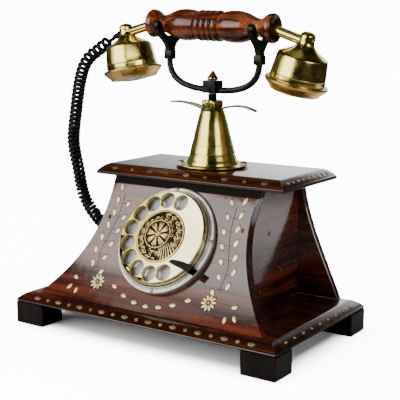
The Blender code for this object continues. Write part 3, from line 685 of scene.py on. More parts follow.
def make_panels():
    front = sheet_solid("front_panel_veneered", lambda t: bezier(PANEL_HALF_WIDTH, t), face_y,
                        lambda t: face_y(t) + PANEL_THICKNESS, PANEL_WOOD)
    seat = turned("seat_tool", [(0, 0.04), (0.04575, 0.04), (0.04575, -0.0119),
                                (0.0360, -0.0119), (0.0360, -0.05), (0, -0.05)], GROOVE_AND_SHADE, DIAL, 160)
    cut(front, seat)
    stands_for(front, "base", "lacquered_rosewood", "front_panel")

    back = sheet_solid("back_panel_veneered", lambda t: bezier(BACK_HALF_WIDTH, t),
                       lambda t: BACK_FACE_Y - BACK_THICKNESS, lambda t: BACK_FACE_Y, PANEL_WOOD,
                       columns=12)
    low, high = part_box("line_socket")
    gap = 0.0006
    middle = ((low.x + high.x) / 2, BACK_FACE_Y, (low.z + high.z) / 2)
    size = (high.x - low.x + gap, 0.03, high.z - low.z + gap)
    cut(back, block("socket_tool", middle, size, 0.0, GROOVE_AND_SHADE))
    stands_for(back, "base", "lacquered_rosewood", "back_panel")


# ------------------------------------------------------------------------ inlays
def front_face(z):
    """The front panel's y, and its slope, at that height."""
    low, high = PANEL_Z
    t = (z - low) / (high - low)
    return face_y(t), bezier_slope(PANEL_FACE_Y, t) / (high - low)


def on_front(x, z, lift):
    """A point that far proud of the front panel's face."""
    y, slope = front_face(z)
    size = math.hypot(1, slope)
    return Vector((x, y - lift / size, z + lift * slope / size))


def panel_place(x, z, turn):
    """Maps a flat motif's (u, v, lift) to the front panel, turned about (x, z)."""
    rise = 1 / math.hypot(1, front_face(z)[1])
    c, s = math.cos(turn), math.sin(turn)
    return lambda u, v, lift: on_front(x + u * c - v * s, z + (u * s + v * c) * rise, lift)


def leaf(place, length, width, lift, dome, blunt):
    """The vertices and faces of one pointed inlay, domed along its middle."""
    steps, root = 8, -0.0002
    verts, faces = [], []
    for i in range(steps + 1):
        s = i / steps
        half = width / 2 * max(0.0, math.sin(math.pi * s))**blunt
        u = (s - 0.5) * length
        verts += [place(u, -half, root), place(u, -half, lift), place(u, 0, lift + dome),
                  place(u, half, lift), place(u, half, root)]
    for i in range(steps):
        for k in range(4):
            a, b = 5 * i + k, 5 * (i + 1) + k
            faces.append((a, a + 1, b + 1, b))
    return verts, faces


class Marquetry:
    """Collects many small inlays, and the dark lines round them, in two meshes."""

    def __init__(self):
        self.inlays = ([], [])
        self.beds = ([], [])

    def add(self, store, shape):
        verts, faces = shape
        start = len(store[0])
        store[0].extend(verts)
        store[1].extend(tuple(start + i for i in face) for face in faces)

    def leaf(self, place, length, width, blunt=0.8):
        self.add(self.inlays, leaf(place, length, width, 0.00018, 0.00022, blunt))
        self.add(self.beds, leaf(place, length + 0.0011, width + 0.0010, 0.00008, 0.0, blunt))

    def line(self, places, width):
        """A thin engraved line through places, each a function of (u, v, lift)."""
        verts = []
        for place in places:
            verts += [place(-width / 2, 0, 0.00007), place(width / 2, 0, 0.00007)]
        faces = [(2 * i, 2 * i + 1, 2 * i + 3, 2 * i + 2) for i in range(len(places) - 1)]
        self.add(self.beds, (verts, faces))

    def finish(self, name):
        for store, material, slot, label in (
                (self.inlays, INLAY_BRASS, "polished_brass", "inlays"),
                (self.beds, GROOVE_AND_SHADE, "dark_wood", "beds")):
            made = new_piece(f"{name}_{label}", store[0], store[1], material, sharp=60.0)
            stands_for(made, "base", slot)


def vine(work, side):
    """Paired leaves up one side of the front panel, on a thin engraved stem."""
    stem = [(-0.0555, 0.116), (-0.0555, 0.104), (-0.0560, 0.090), (-0.0595, 0.076),
            (-0.0625, 0.064), (-0.0605, 0.050)]
    track = spline([(x, z, 0) for x, z in stem], 8)
    spread, stem_top = 0.0058, 0.110
    for i in range(7):
        z = 0.1125 - i * 0.0099
        x = min(track, key=lambda p: abs(p.y - z)).x
        outer = panel_place(side * (x - spread), z + 0.0008, math.pi / 2 + side * 0.32)
        inner = panel_place(side * (x + spread), z - 0.0010 - 0.0006 * i,
                            math.pi / 2 - side * 0.62)
        if i > 0 or side < 0:
            work.leaf(inner, 0.0068, 0.0033)
        work.leaf(outer, 0.0071, 0.0034)
        for way in (-1, 1) if i > 0 else ():
            twig = [panel_place(side * (x + way * d), z - 0.0022 + 0.25 * d, 0)
                    for d in (0.0, 0.0012, 0.0026, 0.0038)]
            work.line([lambda u, v, lift, p=p: p(v, u, lift) for p in twig], 0.0004)
    work.line([panel_place(side * p.x, p.y, 0) for p in track if p.y < stem_top], 0.0006)


def flower(work, x, z):
    """A ring of slim petals round a dot."""
    petals, inner, length = 10, 0.0016, 0.0056
    for i in range(petals):
        flat = panel_place(x, z, 2 * math.pi * (i + 0.25) / petals)
        middle = inner + length / 2
        work.leaf(lambda u, v, lift, f=flat, m=middle: f(u + m, v, lift), length, 0.0020, 0.6)
    work.leaf(panel_place(x, z, 0), 0.0018, 0.0018, 0.5)


def make_front_inlays():
    work = Marquetry()
    for side in (-1, 1):
        vine(work, side)
        flower(work, side * 0.0550, 0.0413)
        for x, z, turn in ((0.0784, 0.0415, 0.35), (0.0735, 0.0325, 1.65), (0.0814, 0.0343, 2.2)):
            angle = turn if side > 0 else math.pi - turn
            work.leaf(panel_place(side * x, z, angle), 0.0066, 0.0030)
    for i in range(7):
        share = i / 6 * 2 - 1
        x = share * 0.0365
        z = 0.0312 + 0.0090 * share**2
        work.leaf(panel_place(x, z, 0.35 * share), 0.0066, 0.0032)
    work.finish("front_panel")


def bevel_place(node, axis, way, at):
    """Maps a flat motif to a board's rounded edge, on that side of the axis (0 or 1)."""
    low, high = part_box(node)
    lip, rise, inset = BEVELS[node]
    edge = (high if way > 0 else low)[axis]

    def place(u, v, lift):
        s = min(0.98, max(0.02, 0.36 + v / inset))
        slope = rise * BEVEL_POWER * (1 - s)**(BEVEL_POWER - 1) / inset
        size = math.hypot(1, slope)
        spot = Vector((at + u, at + u, low.z + lip + rise * (1 - (1 - s)**BEVEL_POWER)))
        spot[axis] = edge - way * inset * s + way * lift * slope / size
        spot.z += lift / size
        return spot

    return place


def make_edge_inlays():
    """A row of lozenges, long and short by turns, along the boards' front and side edges."""
    work = Marquetry()
    side_count = 9
    for node, count, reach, long, short in (("base_board", 19, 0.1050, 0.0062, 0.0036),
                                            ("top_board", 9, 0.0745, 0.0058, 0.0032)):
        for i in range(count):
            spot = bevel_place(node, 1, -1, -reach + 2 * reach * i / (count - 1))
            work.leaf(spot, short if i % 2 else long, 0.0024 if i % 2 else 0.0027, 0.6)
        low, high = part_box(node)
        for i in range(side_count):
            y = low.y + (high.y - low.y) * (0.14 + 0.72 * i / (side_count - 1))
            for way in (-1, 1):
                work.leaf(bevel_place(node, 0, way, y), 0.0026 if i % 2 else 0.0038, 0.0016, 0.6)
    work.finish("edge")


def make_side_stars():
    """Small brass stars let into the right and left side panels."""
    for name, side in (("right", 1), ("left", -1)):
        work = Marquetry()
        low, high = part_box(f"side_panel_{name}")
        face = high.x if side > 0 else low.x
        for share_y, share_z, points in ((0.30, 0.35, 6), (0.58, 0.62, 4), (0.22, 0.72, 4),
                                         (0.74, 0.28, 4), (0.46, 0.15, 4)):
            y = low.y + share_y * (high.y - low.y)
            z = low.z + share_z * (high.z - low.z)
            for i in range(points):
                angle = math.pi * 2 * i / points + 0.3

                def place(u, v, lift, a=angle, y=y, z=z):
                    reach = u + 0.0011
                    return Vector((face + side * lift, y + reach * math.cos(a) - v * math.sin(a),
                                   z + reach * math.sin(a) + v * math.cos(a)))

                work.leaf(place, 0.0018, 0.0006, 0.9)
        work.finish(f"side_{name}")


def dress(node, material, bevel=0.0):
    """Gives a CAD node its looks, and soft edges where asked."""
    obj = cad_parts[node]
    obj.data.materials.clear()
    obj.data.materials.append(material)
    if bevel:
        edge = obj.modifiers.new("soft_edges", "BEVEL")
        edge.width = bevel
        edge.segments = 2
        edge.limit_method = "ANGLE"


def dress_cad_wood():
    for side in ("left", "right"):
        dress(f"side_panel_{side}", SIDE_WOOD)
        for end in ("front", "rear"):
            dress(f"foot_{end}_{side}", FOOT_WOOD)


# -------------------------------------------------------------------------- dial
HOLE_CIRCLE = 0.0313
HOLE_RADIUS = 0.0064
FIRST_HOLE = math.radians(74.4)
HOLE_PITCH = math.radians(24.5)
MEDALLION_RADIUS = 0.0223


def circle(radius, centre, points):
    """Points round a circle, counterclockwise."""
    return [(centre[0] + radius * math.cos(2 * math.pi * k / points),
             centre[1] + radius * math.sin(2 * math.pi * k / points)) for k in range(points)]


def inset_loop(points, inset):
    """A counterclockwise outline moved inward by that much."""
    moved = []
    for i, point in enumerate(points):
        before, after = Vector(points[i - 1]), Vector(points[(i + 1) % len(points)])
        along = (after - before).normalized()
        moved.append((point[0] - along.y * inset, point[1] + along.x * inset))
    return moved


def pierced(name, outer, holes, material, matrix, sharp=30.0):
    """A flat plate with holes. outer and each hole are lists of (outline, height), front first."""
    verts, faces, first, last = [], [], [], []
    for rings in (outer, *holes):
        starts = []
        for outline, height in rings:
            starts.append(len(verts))
            verts += [(x, y, height) for x, y in outline]
        count = len(rings[0][0])
        for a, b in zip(starts, starts[1:]):
            for k in range(count):
                j = (k + 1) % count
                faces.append((a + k, b + k, b + j, a + j))
        first.append(range(starts[0], starts[0] + count))
        last.append(range(starts[-1], starts[-1] + count))
    for loops in (first, last):
        flat = [i for loop in loops for i in loop]
        lines = [[Vector((verts[i][0], verts[i][1], 0)) for i in loop] for loop in loops]
        faces += [tuple(flat[i] for i in triangle) for triangle in tessellate_polygon(lines)]
    made = new_piece(name, verts, faces, material, matrix, sharp)
    level = matrix.to_3x3() @ Vector((0, 0, 1))
    for face in made.data.polygons:
        if abs(face.normal.dot(level)) > 0.9995:
            face.use_smooth = False
    return made


def round_rings(profile, centre, points):
    """Rings of a round outline from (radius, height) pairs."""
    return [(circle(radius, centre, points), height) for radius, height in profile]


def make_wheel():
    """The finger wheel: a flat face with softened holes and a rim that rolls back."""
    rim = [(0.0385, 0.0), (0.0389, -0.0002), (0.0393, -0.0007), (0.0396, -0.0016),
           (0.0398, -0.0028), (0.0398, -0.0050), (0.0391, -0.0050), (0.0386, -0.0036)]
    hole = [(HOLE_RADIUS + 0.0006, 0.0), (HOLE_RADIUS + 0.0002, -0.0001),
            (HOLE_RADIUS, -0.0005), (HOLE_RADIUS, -0.0044), (HOLE_RADIUS + 0.0003, -0.0046)]
    holes = []
    for i in range(10):
        angle = FIRST_HOLE + i * HOLE_PITCH
        spot = (HOLE_CIRCLE * math.cos(angle), HOLE_CIRCLE * math.sin(angle))
        holes.append(round_rings(hole, spot, 56))
    wheel = pierced("finger_wheel_polished", round_rings(rim, (0, 0), 180), holes, WHEEL_BRASS,
                    DIAL, 60.0)
    stands_for(wheel, "dial_wheel", "polished_brass", "finger_wheel")


def relief_height(x, y):
    """Height of the medallion's relief in millimetres at x, y in millimetres, as numpy arrays."""
    r = np.hypot(x, y)
    fx, fy = x + 3.0, y - 1.4
    rho, alpha = np.hypot(fx, fy), np.arctan2(fy, fx)
    inside = 1 / (1 + np.exp((rho - 11.0) * 4))
    petal = np.abs(np.cos(4 * alpha + 0.35))
    body = np.clip(1 - np.abs(rho - 5.6) / 5.2, 0, 1)**0.5 * np.clip(petal - 0.22, 0, 1)**0.55
    vein = 0.30 * np.exp(-((petal - 1) / 0.035)**2) * body
    hub = 0.75 * np.exp(-(rho / 1.3)**2)
    height = inside * (0.95 * body - vein + hub)
    height += 0.95 * np.exp(-((rho - 11.6) / 0.55)**2)
    outside = 1 / (1 + np.exp(-(rho - 12.7) * 5)) / (1 + np.exp((r - 20.6) * 5))
    scrolls = np.zeros_like(x)
    for i in range(70):
        angle = 2.399963 * i + 0.2
        reach = 10.6 + 8.8 * ((i * 0.7549) % 1.0)**0.7
        cx, cy = reach * math.cos(angle), reach * math.sin(angle)
        d, a = np.hypot(x - cx, y - cy), np.arctan2(y - cy, x - cx)
        turn = (-1)**i
        curl = 0.5 + 0.5 * np.cos(3.3 * d - turn * a - angle)
        scrolls = np.maximum(scrolls, curl**1.2 * np.exp(-(d / 1.8)**4))
    theta = np.arctan2(y, x)
    feather = 0.5 + 0.5 * np.cos(46 * theta + 0.9 * r)
    fan = np.exp(-((theta + 0.85) / 0.42)**4)
    height += outside * (0.85 * (scrolls * (1 - fan) + feather * fan) + 0.1)
    height += 0.45 * np.exp(-((r - 21.2) / 0.62)**4)
    ripple = 0.10 * np.sin(1.9 * x + 0.8 * y) * np.sin(1.3 * y - 0.7 * x) * inside
    return np.clip(height + ripple, 0, 1.25)


def make_medallion():
    rings, steps = 88, 300
    radius = MEDALLION_RADIUS * 1000
    levels = np.linspace(0, 1, rings + 1)[1:] * (radius - 0.02)
    angles = np.linspace(0, 2 * math.pi, steps, endpoint=False)
    grid_r, grid_a = np.meshgrid(levels, angles, indexing="ij")
    x, y = grid_r * np.cos(grid_a), grid_r * np.sin(grid_a)
    height = relief_height(x, y)
    top = 0.30 + 0.95 * height
    verts = [(0, 0, 1.25 * MM)]
    verts += [(a * MM, b * MM, c * MM) for a, b, c in zip(x.ravel(), y.ravel(), top.ravel())]
    faces = [(0, 1 + k, 1 + (k + 1) % steps) for k in range(steps)]
    for i in range(rings - 1):
        for k in range(steps):
            a, b = 1 + i * steps, 1 + (i + 1) * steps
            j = (k + 1) % steps
            faces.append((a + k, b + k, b + j, a + j))
    start = len(verts)
    edge = 1 + (rings - 1) * steps
    for k, angle in enumerate(angles):
        verts.append((MEDALLION_RADIUS * math.cos(angle), MEDALLION_RADIUS * math.sin(angle),
                      0.2 * MM))
        faces.append((edge + k, start + k, start + (k + 1) % steps, edge + (k + 1) % steps))
    faces.append(tuple(range(start, start + steps)))
    made = new_piece("wheel_medallion_relief", verts, faces, RELIEF, DIAL, 80.0)
    depth = made.data.attributes.new("relief", "FLOAT", "POINT")
    values = np.zeros(len(made.data.vertices), np.float32)
    values[0] = 0.9
    border = np.clip((grid_r.ravel() - 21.0) / 0.4, 0, 0.7)
    values[1:1 + rings * steps] = np.clip(np.maximum(height.ravel(), border), 0, 1)
    values[1 + rings * steps:] = 0.7
    depth.data.foreach_set("value", values)
    stands_for(made, "dial_wheel", "old_brass", "wheel_medallion")


def make_dial_case():
    case = [(0.0404, -0.0056), (0.0408, -0.0050), (0.0412, -0.0050), (0.0416, -0.0062),
            (0.0424, -0.0066), (0.0427, -0.0064), (0.0444, -0.0064), (0.0450, -0.0067),
            (0.0455, -0.0078), (0.0455, -0.0116), (0.0355, -0.0116), (0.0355, -0.0280),
            (0.0343, -0.0280), (0.0343, -0.0085), (0.0384, -0.0080), (0.0398, -0.0068)]
    made = turned("dial_case_turned", softened(case, 0.0004, True, 3), ALLOY, DIAL, 160, True)
    stands_for(made, "base", "dial_alloy", "dial_case")
    plate = [(0.0374, -0.0063), (0.0380, -0.0066), (0.0380, -0.0076), (0.0048, -0.0076),
             (0.0048, -0.0063)]
    made = turned("number_plate_enamelled", softened(plate, 0.0002, True, 2), ENAMEL, DIAL, 128,
                  True)
    stands_for(made, "base", "white_enamel", "number_plate")


def screw_head(name, radius, height, matrix, turn):
    """A domed steel screw head with a sawn slot."""
    dome = [(0, height)]
    dome += [(radius * math.sin(a), height * math.cos(a)) for a in (0.3, 0.6, 0.9, 1.15, 1.35)]
    dome += [(radius, 0), (radius * 0.96, -0.0003), (0, -0.0003)]
    head = turned(name, dome, STEEL, matrix, 32)
    slot = (3 * radius, 0.30 * radius, 0.9 * height)
    cut(head, block(name + "_slot", (0, 0, height), slot, 0.0, STEEL,
                    matrix @ Matrix.Rotation(turn, 4, "Z")))
    return head


def make_dial_screws():
    for i in range(4):
        angle = math.radians(5) + i * math.pi / 2
        spot = Matrix.Translation((0.0434 * math.cos(angle), 0.0434 * math.sin(angle), -0.0062))
        head = screw_head(f"dial_screw_{i + 1}_slotted", 0.0015, 0.0009, DIAL @ spot,
                          0.7 + 1.3 * i)
        stands_for(head, "base", "steel", f"dial_screw_{i + 1}")


# ------------------------------------------------------------------------- stand
def make_cone():
    outer = [(0.0062, 0.1784), (0.0094, 0.1784), (0.0100, 0.1777), (0.0127, 0.1680),
             (0.0156, 0.1560), (0.01715, 0.1500), (0.0172, 0.1497), (0.01745, 0.1494),
             (0.0186, 0.1440), (0.01895, 0.1425), (0.01885, 0.1421), (0.0194, 0.1408),
             (0.0205, 0.1372), (0.0223, 0.1334)]
    inner = [(0.0210, 0.1334), (0.0172, 0.1425), (0.0087, 0.1771), (0.0062, 0.1771)]
    made = turned("stand_cone_turned", softened(outer + inner, 0.0003, True, 2), POLISHED, STAND,
                  128, True)
    stands_for(made, "base", "polished_brass", "stand_cone")


def make_flange():
    def curl(radius, height, angle):
        share = max(0.0, (radius - 0.023) / 0.0077)
        lift = 0.00035 * share**2 * (math.sin(3 * angle + 0.6) + 0.5 * math.sin(5 * angle))
        if height < 0.1315:
            return radius, height
        return radius * (1 + 0.004 * share * math.sin(4 * angle)), height + lift

    profile = [(0.0090, 0.1326), (0.0205, 0.1328), (0.0229, 0.1331), (0.0245, 0.1326),
               (0.0272, 0.1325), (0.0296, 0.1329), (0.0306, 0.1330), (0.0307, 0.1324),
               (0.0303, 0.1319), (0.0290, 0.1311), (0.0090, 0.1311)]
    made = turned("stand_flange_curled", softened(profile, 0.0003, True, 2), POLISHED, STAND, 128,
                  True, curl)
    stands_for(made, "base", "polished_brass", "stand_flange")
    for i in range(2):
        angle = math.radians(25.6) + i * math.pi
        spot = Matrix.Translation((0.0265 * math.cos(angle),
                                   STAND_Y + 0.0265 * math.sin(angle), 0.1334))
        head = screw_head(f"flange_screw_{i + 1}_slotted", 0.0029, 0.0023, spot, 0.5 + i)
        stands_for(head, "base", "steel", f"flange_screw_{i + 1}")


def make_nut():
    flats = 0.0167 / 2

    def hexagonal(radius, height, angle):
        if radius < 0.0057:
            return radius, height
        around = (angle + math.pi / 6) % (math.pi / 3) - math.pi / 6
        reach = flats / math.cos(around)
        return min(reach, radius), height

    profile = [(0.0039, 0.1865), (0.0076, 0.1865), (0.0084, 0.1862), (0.0091, 0.1855),
               (0.0097, 0.1846), (0.0097, 0.1824), (0.0091, 0.1813), (0.0084, 0.1806),
               (0.0076, 0.1803), (0.0055, 0.1803), (0.0055, 0.1750), (0.0039, 0.1750)]
    turn = STAND @ Matrix.Rotation(math.radians(42), 4, "Z")
    made = turned("lock_nut_hexagonal", profile, POLISHED, turn, 96, True, hexagonal, 20.0)
    stands_for(made, "base", "polished_brass", "lock_nut")


def make_leaf_strip():
    """A thin strip that ends in two arched, drooping leaves with a crease along the middle."""
    verts, faces = [], []
    columns, rows = 56, 6
    reach, hub = 0.0427, 0.0092
    for layer in (0, 1):
        for i in range(columns + 1):
            x = reach * (2 * i / columns - 1)
            along = max(0.0, (abs(x) - hub) / (reach - hub))
            arch, peak, droop = (0.0040, 0.83, 0.0) if x < 0 else (0.0034, 0.57, 0.0022)
            rise = arch * math.sin(math.pi / 2 * along / peak) - droop * along**1.5
            if along > 0:
                half = 0.0002 + 0.0054 * math.cos(along * 1.5)**0.4 * (0.75 + 0.25 * along)
            else:
                half = math.sqrt(max(0.0, hub**2 - x * x)) + 0.0018
            for k in range(rows + 1):
                v = 2 * k / rows - 1
                crease = 0.0007 * abs(v) * min(1.0, 4 * along)
                z = 0.1787 + rise + crease + layer * 0.0014 * (1 - 0.3 * along)
                verts.append((x, v * half, z))
    width = rows + 1
    total = (columns + 1) * width
    for i in range(columns):
        for k in range(rows):
            a = i * width + k
            faces.append((a, a + width, a + width + 1, a + 1))
            faces.append((total + a, total + a + 1, total + a + width + 1, total + a + width))
        for k, flip in ((0, False), (rows, True)):
            a, b = i * width + k, (i + 1) * width + k
            quad = (a, b, total + b, total + a)
            faces.append(tuple(reversed(quad)) if flip else quad)
    for i in (0, columns):
        for k in range(rows):
            a = i * width + k
            faces.append((a, a + 1, total + a + 1, total + a))
    made = new_piece("leaf_strip_arched", verts, faces, LEAF_BRASS, STAND, 50.0)
    stands_for(made, "base", "polished_brass", "leaf_strip")


# ------------------------------------------------------------------------ cradle
def make_cradle():
    rise = 0.0227
    xs = (0.0045, 0.0310, 0.0446, 0.0446)
    zs = (-0.0002, -0.0004, 0.0075, rise)
    right = [(bezier(xs, i / 28), 0, bezier(zs, i / 28)) for i in range(29)]
    left = [(-x, y, z) for x, y, z in reversed(right)]
    made = swept("cradle_rod_bent", left + right, 0.0027, BRONZE, 20, CRADLE)
    stands_for(made, "cradle", "dark_bronze", "cradle_rod")
    for side, name in ((-1, "left"), (1, "right")):
        made = block(f"fork_collar_{name}_squared", (side * 0.0446, 0, 0.0267),
                     (0.0075, 0.0075, 0.0078), 0.0006, BRONZE, CRADLE)
        stands_for(made, "cradle", "dark_bronze", f"fork_collar_{name}")
        make_fork(name, side * 0.0446)
    tip = [(0, 0.0166), (0.0006, 0.0159), (0.0026, 0.0128), (0.0042, 0.0107), (0.0048, 0.0097),
           (0.0048, 0.0088), (0.0040, 0.0079), (0, 0.0079)]
    made = turned("finial_turned", softened(tip, 0.0006), POLISHED, CRADLE, 48)
    stands_for(made, "cradle", "polished_brass", "finial")
    thread = [(0, 0.1915), (0.0034, 0.1915), (0.0038, 0.1911)]
    pitch = 0.0008
    height = 0.1908
    while height > 0.1790:
        thread += [(0.0038, height), (0.0034, height - pitch / 2)]
        height -= pitch
    thread += [(0.0038, 0.1780), (0.0038, 0.1640), (0.0068, 0.1640), (0.0068, 0.1620),
               (0.0038, 0.1620), (0.0038, 0.0960), (0, 0.0960)]
    made = turned("plunger_threaded", thread, BRONZE, STAND, 40)
    stands_for(made, "cradle", "dark_bronze", "plunger")


def make_fork(name, x):
    """The forked rest: two curved horns that rise from a flared foot."""
    half = [(0.0, -0.0096), (0.0045, -0.0094), (0.0080, -0.0081), (0.0104, -0.0055),
            (0.0122, -0.0012), (0.0141, 0.0019), (0.0163, 0.0030), (0.0183, 0.0022),
            (0.0194, -0.0004), (0.0190, -0.0040), (0.0163, -0.0077), (0.0124, -0.0112),
            (0.0086, -0.0142), (0.0062, -0.0168), (0.0048, -0.0190), (0.0043, -0.0208),
            (0.0043, -0.0224)]
    fine = [(p.x, p.y) for p in spline([(y, z, 0) for y, z in half], 3)]
    loop = [(y, z + 0.0523) for y, z in fine]
    loop += [(-y, z + 0.0523) for y, z in reversed(fine[1:])]
    rings = []
    for inset, height in ((0.0008, 0.0026), (0.0004, 0.0025), (0.0001, 0.0022), (0.0, 0.0018),
                          (0.0, -0.0018), (0.0001, -0.0022), (0.0004, -0.0025),
                          (0.0008, -0.0026)):
        rings.append((inset_loop(loop, -inset), height))
    turn = math.pi / 2 + (-0.09 if x < 0 else 0.09)
    stand = Matrix.Translation((x, 0, 0)) @ Matrix.Rotation(turn, 4, "Z")
    made = pierced(f"fork_{name}_cast", rings, [], BRONZE,
                   CRADLE @ stand @ Matrix.Rotation(math.pi / 2, 4, "X"))
    stands_for(made, "cradle", "dark_bronze", f"fork_{name}")


# ----------------------------------------------------------------------- handset
def handle_profile():
    """The turned handle from its right end to its left end, as (radius, height)."""
    end = [(0.0040, 0.0562), (0.0062, 0.0574), (0.0085, 0.0594), (0.0100, 0.0608)]
    lip = [(0.0108, 0.0611), (0.0116, 0.0604), (0.0120, 0.0592), (0.0118, 0.0572),
           (0.0112, 0.0552), (0.0098, 0.0530), (0.0084, 0.0508), (0.0076, 0.0485),
           (0.0075, 0.0465), (0.0080, 0.0440), (0.0096, 0.0400), (0.0115, 0.0350),
           (0.0127, 0.0300), (0.0131, 0.0255), (0.0130, 0.0215), (0.0125, 0.0170),
           (0.0116, 0.0132), (0.0110, 0.0117)]
    half = [(p.x, p.y) for p in spline([(r, z, 0) for r, z in lip], 5)]
    beads = []
    for middle, reach in ((0.0083, 0.0033), (0.0027, 0.0030)):
        for k in range(11):
            a = math.pi * k / 10
            beads.append((0.0102 + 0.0026 * math.sin(a)**0.7, middle + reach * math.cos(a) * 0.94))
    right = end + half + beads
    left = [(r, -z) for r, z in reversed(right)]
    return [(0, 0.0558), *right, (0.0102, 0.0), *left, (0, -0.0558)]


def make_handle():
    matrix = HANDSET @ Matrix.Rotation(math.pi / 2, 4, "Y")
    made = turned("handset_handle_turned", handle_profile(), HANDLE_WOOD, matrix, 96, sharp=50.0)
    made.data.materials.append(END_WOOD)
    back = matrix.inverted()
    for face in made.data.polygons:
        spot = back @ face.center
        face.material_index = int(spot.xy.length < 0.0104 and abs(spot.z) > 0.0540)
    stands_for(made, "handset", "lacquered_rosewood", "handset_handle")


def make_tube(side, name):
    droop, length = math.radians(16.5), 0.0346
    start = Matrix.Translation((side * 0.0530, 0, 0.0013))
    turn = HANDSET @ start @ Matrix.Rotation(side * (math.pi / 2 + droop), 4, "Y")
    ferrule = [(0, length), (0.0040, length), (0.0040, 0.0), (0, 0.0)]
    made = turned(f"arm_tube_{name}_drawn", softened(ferrule, 0.0002), POLISHED, turn, 48)
    stands_for(made, "handset", "polished_brass", f"arm_tube_{name}")


def shell_outline():
    """The capsule's shell from its knob down to its rim."""
    neck = [(0, 0), (0.0026, -0.0003), (0.0048, -0.0013), (0.0059, -0.0029), (0.0061, -0.0050),
            (0.0061, -0.0072), (0.0065, -0.0092), (0.0075, -0.0112), (0.0094, -0.0131),
            (0.0124, -0.0151), (0.0160, -0.0170), (0.0192, -0.0187)]
    wall = [(0.0199, -0.0192), (0.0203, -0.0201), (0.0215, -0.0296), (0.0220, -0.0345),
            (0.0222, -0.0347), (0.02205, -0.0351), (0.0225, -0.0391)]
    inner = [(0.0213, -0.0391), (0.0189, -0.0215), (0.0080, -0.0165), (0, -0.0160)]
    return [(p.x, p.y) for p in spline([(r, z, 0) for r, z in neck], 3)] + wall + inner


def capsule_place(side):
    """Where the capsule at that end of the handset has its knob's top."""
    spot = Matrix.Translation((side * CAPSULE_X, 0, CAPSULE_Z))
    return HANDSET @ spot @ Matrix.Rotation(side * CAPSULE_LEAN, 4, "Y")


def make_capsule(side, role):
    place = capsule_place(side)
    made = turned(f"{role}_shell_spun", softened(shell_outline(), 0.0004, steps=2), POLISHED,
                  place, 112)
    stands_for(made, "handset", "polished_brass", f"{role}_shell")
    cap = [(0.0226, -0.0390), (0.0250, -0.0395), (0.0256, -0.0401), (0.0257, -0.0410),
           (0.0252, -0.0420), (0.0230, -0.0446), (0.0208, -0.0467), (0.0204, -0.0474),
           (0.0200, -0.0482), (0.0190, -0.0485), (0.0184, -0.0479), (0.0184, -0.0440),
           (0.0208, -0.0400)]
    made = turned(f"{role}_cap_spun", softened(cap, 0.0004, True, 2), OLD_BRASS, place, 112, True)
    stands_for(made, "handset", "old_brass", f"{role}_cap")
    make_grille(role, place)


def make_grille(role, place):
    """A domed disc with rings of round holes."""
    radius, crown, thickness = 0.0182, 0.0028, 0.0010
    holes = []
    for ring in range(6):
        for k in range(max(1, 6 * ring)):
            angle = math.pi * k / (3 * ring) if ring else 0.0
            spot = (0.0029 * ring * math.cos(angle), 0.0029 * ring * math.sin(angle))
            holes.append(round_rings([(0.00085, 0), (0.00085, -thickness)], spot, 10))
    outer = round_rings([(radius, 0), (radius, -thickness)], (0, 0), 96)
    made = pierced(f"{role}_grille_domed", outer, holes, WHITE, Matrix())
    for vert in made.data.vertices:
        share = min(1.0, vert.co.xy.length / radius)
        vert.co.z -= 0.0466 + crown * (1 - share**2)
    for face in made.data.polygons:
        face.use_smooth = True
    made.data.transform(place)
    stands_for(made, "handset", "white_plastic", f"{role}_grille")


def make_gland():
    spot = Matrix.Translation((-KNOB_RADIUS - 0.0009, 0, -0.0080))
    place = capsule_place(-1) @ spot @ Matrix.Rotation(-math.radians(98), 4, "Y")
    profile = [(0, 0.0086), (0.0017, 0.0086), (0.0021, 0.0078), (0.0022, 0.0058), (0.0026, 0.0050),
               (0.0028, 0.0030), (0.0025, 0.0026), (0.0030, 0.0018), (0.0027, 0.0014),
               (0.0032, 0.0007), (0.0032, 0.0), (0, 0)]
    made = turned("cord_gland_ribbed", softened(profile, 0.0002), JACKET, place, 32)
    stands_for(made, "handset", "black_plastic", "cord_gland")


def make_grommet():
    place = Matrix.Translation((-0.0710, STAND_Y, 0.0540)) @ Matrix.Rotation(-math.pi / 2, 4, "Y")
    profile = [(0, 0.0027), (0.0040, 0.0027), (0.0056, 0.0021), (0.0065, 0.0010), (0.0065, 0.0003),
               (0.0045, 0.0003), (0.0045, -0.0080), (0, -0.0080)]
    made = turned("side_grommet_moulded", softened(profile, 0.0004), RUBBER, place, 40)
    stands_for(made, "base", "black_rubber", "side_grommet")


def dress_rest():
    """CAD nodes whose own shape is right: they get a finish and, where it helps, soft edges."""
    finishes = (
        (STEEL, ("dial_shaft", "dial_mechanism", "plunger_spring", "ringer_bracket", "clapper",
                 "hook_switch")),
        (BLUED, ("finger_stop",)),
        (BRONZE, ("cradle_block",)),
        (BLACK, ("line_socket", "transmitter_unit", "receiver_unit")),
        (WHITE, ("terminal_block",)),
        (COPPER, ("ringer_coil",)),
        (BOARD_GREEN, ("network_board",)),
        (POLISHED, ("gong_left", "gong_right")),
    )
    soft = {"finger_stop": 0.0003, "cradle_block": 0.0006, "line_socket": 0.0005}
    for material, nodes in finishes:
        for node in nodes:
            dress(node, material, soft.get(node, 0.0))


# ------------------------------------------------------------- floor and lighting
BACKDROP = 12.0
FLOOR_WASH = 44.0


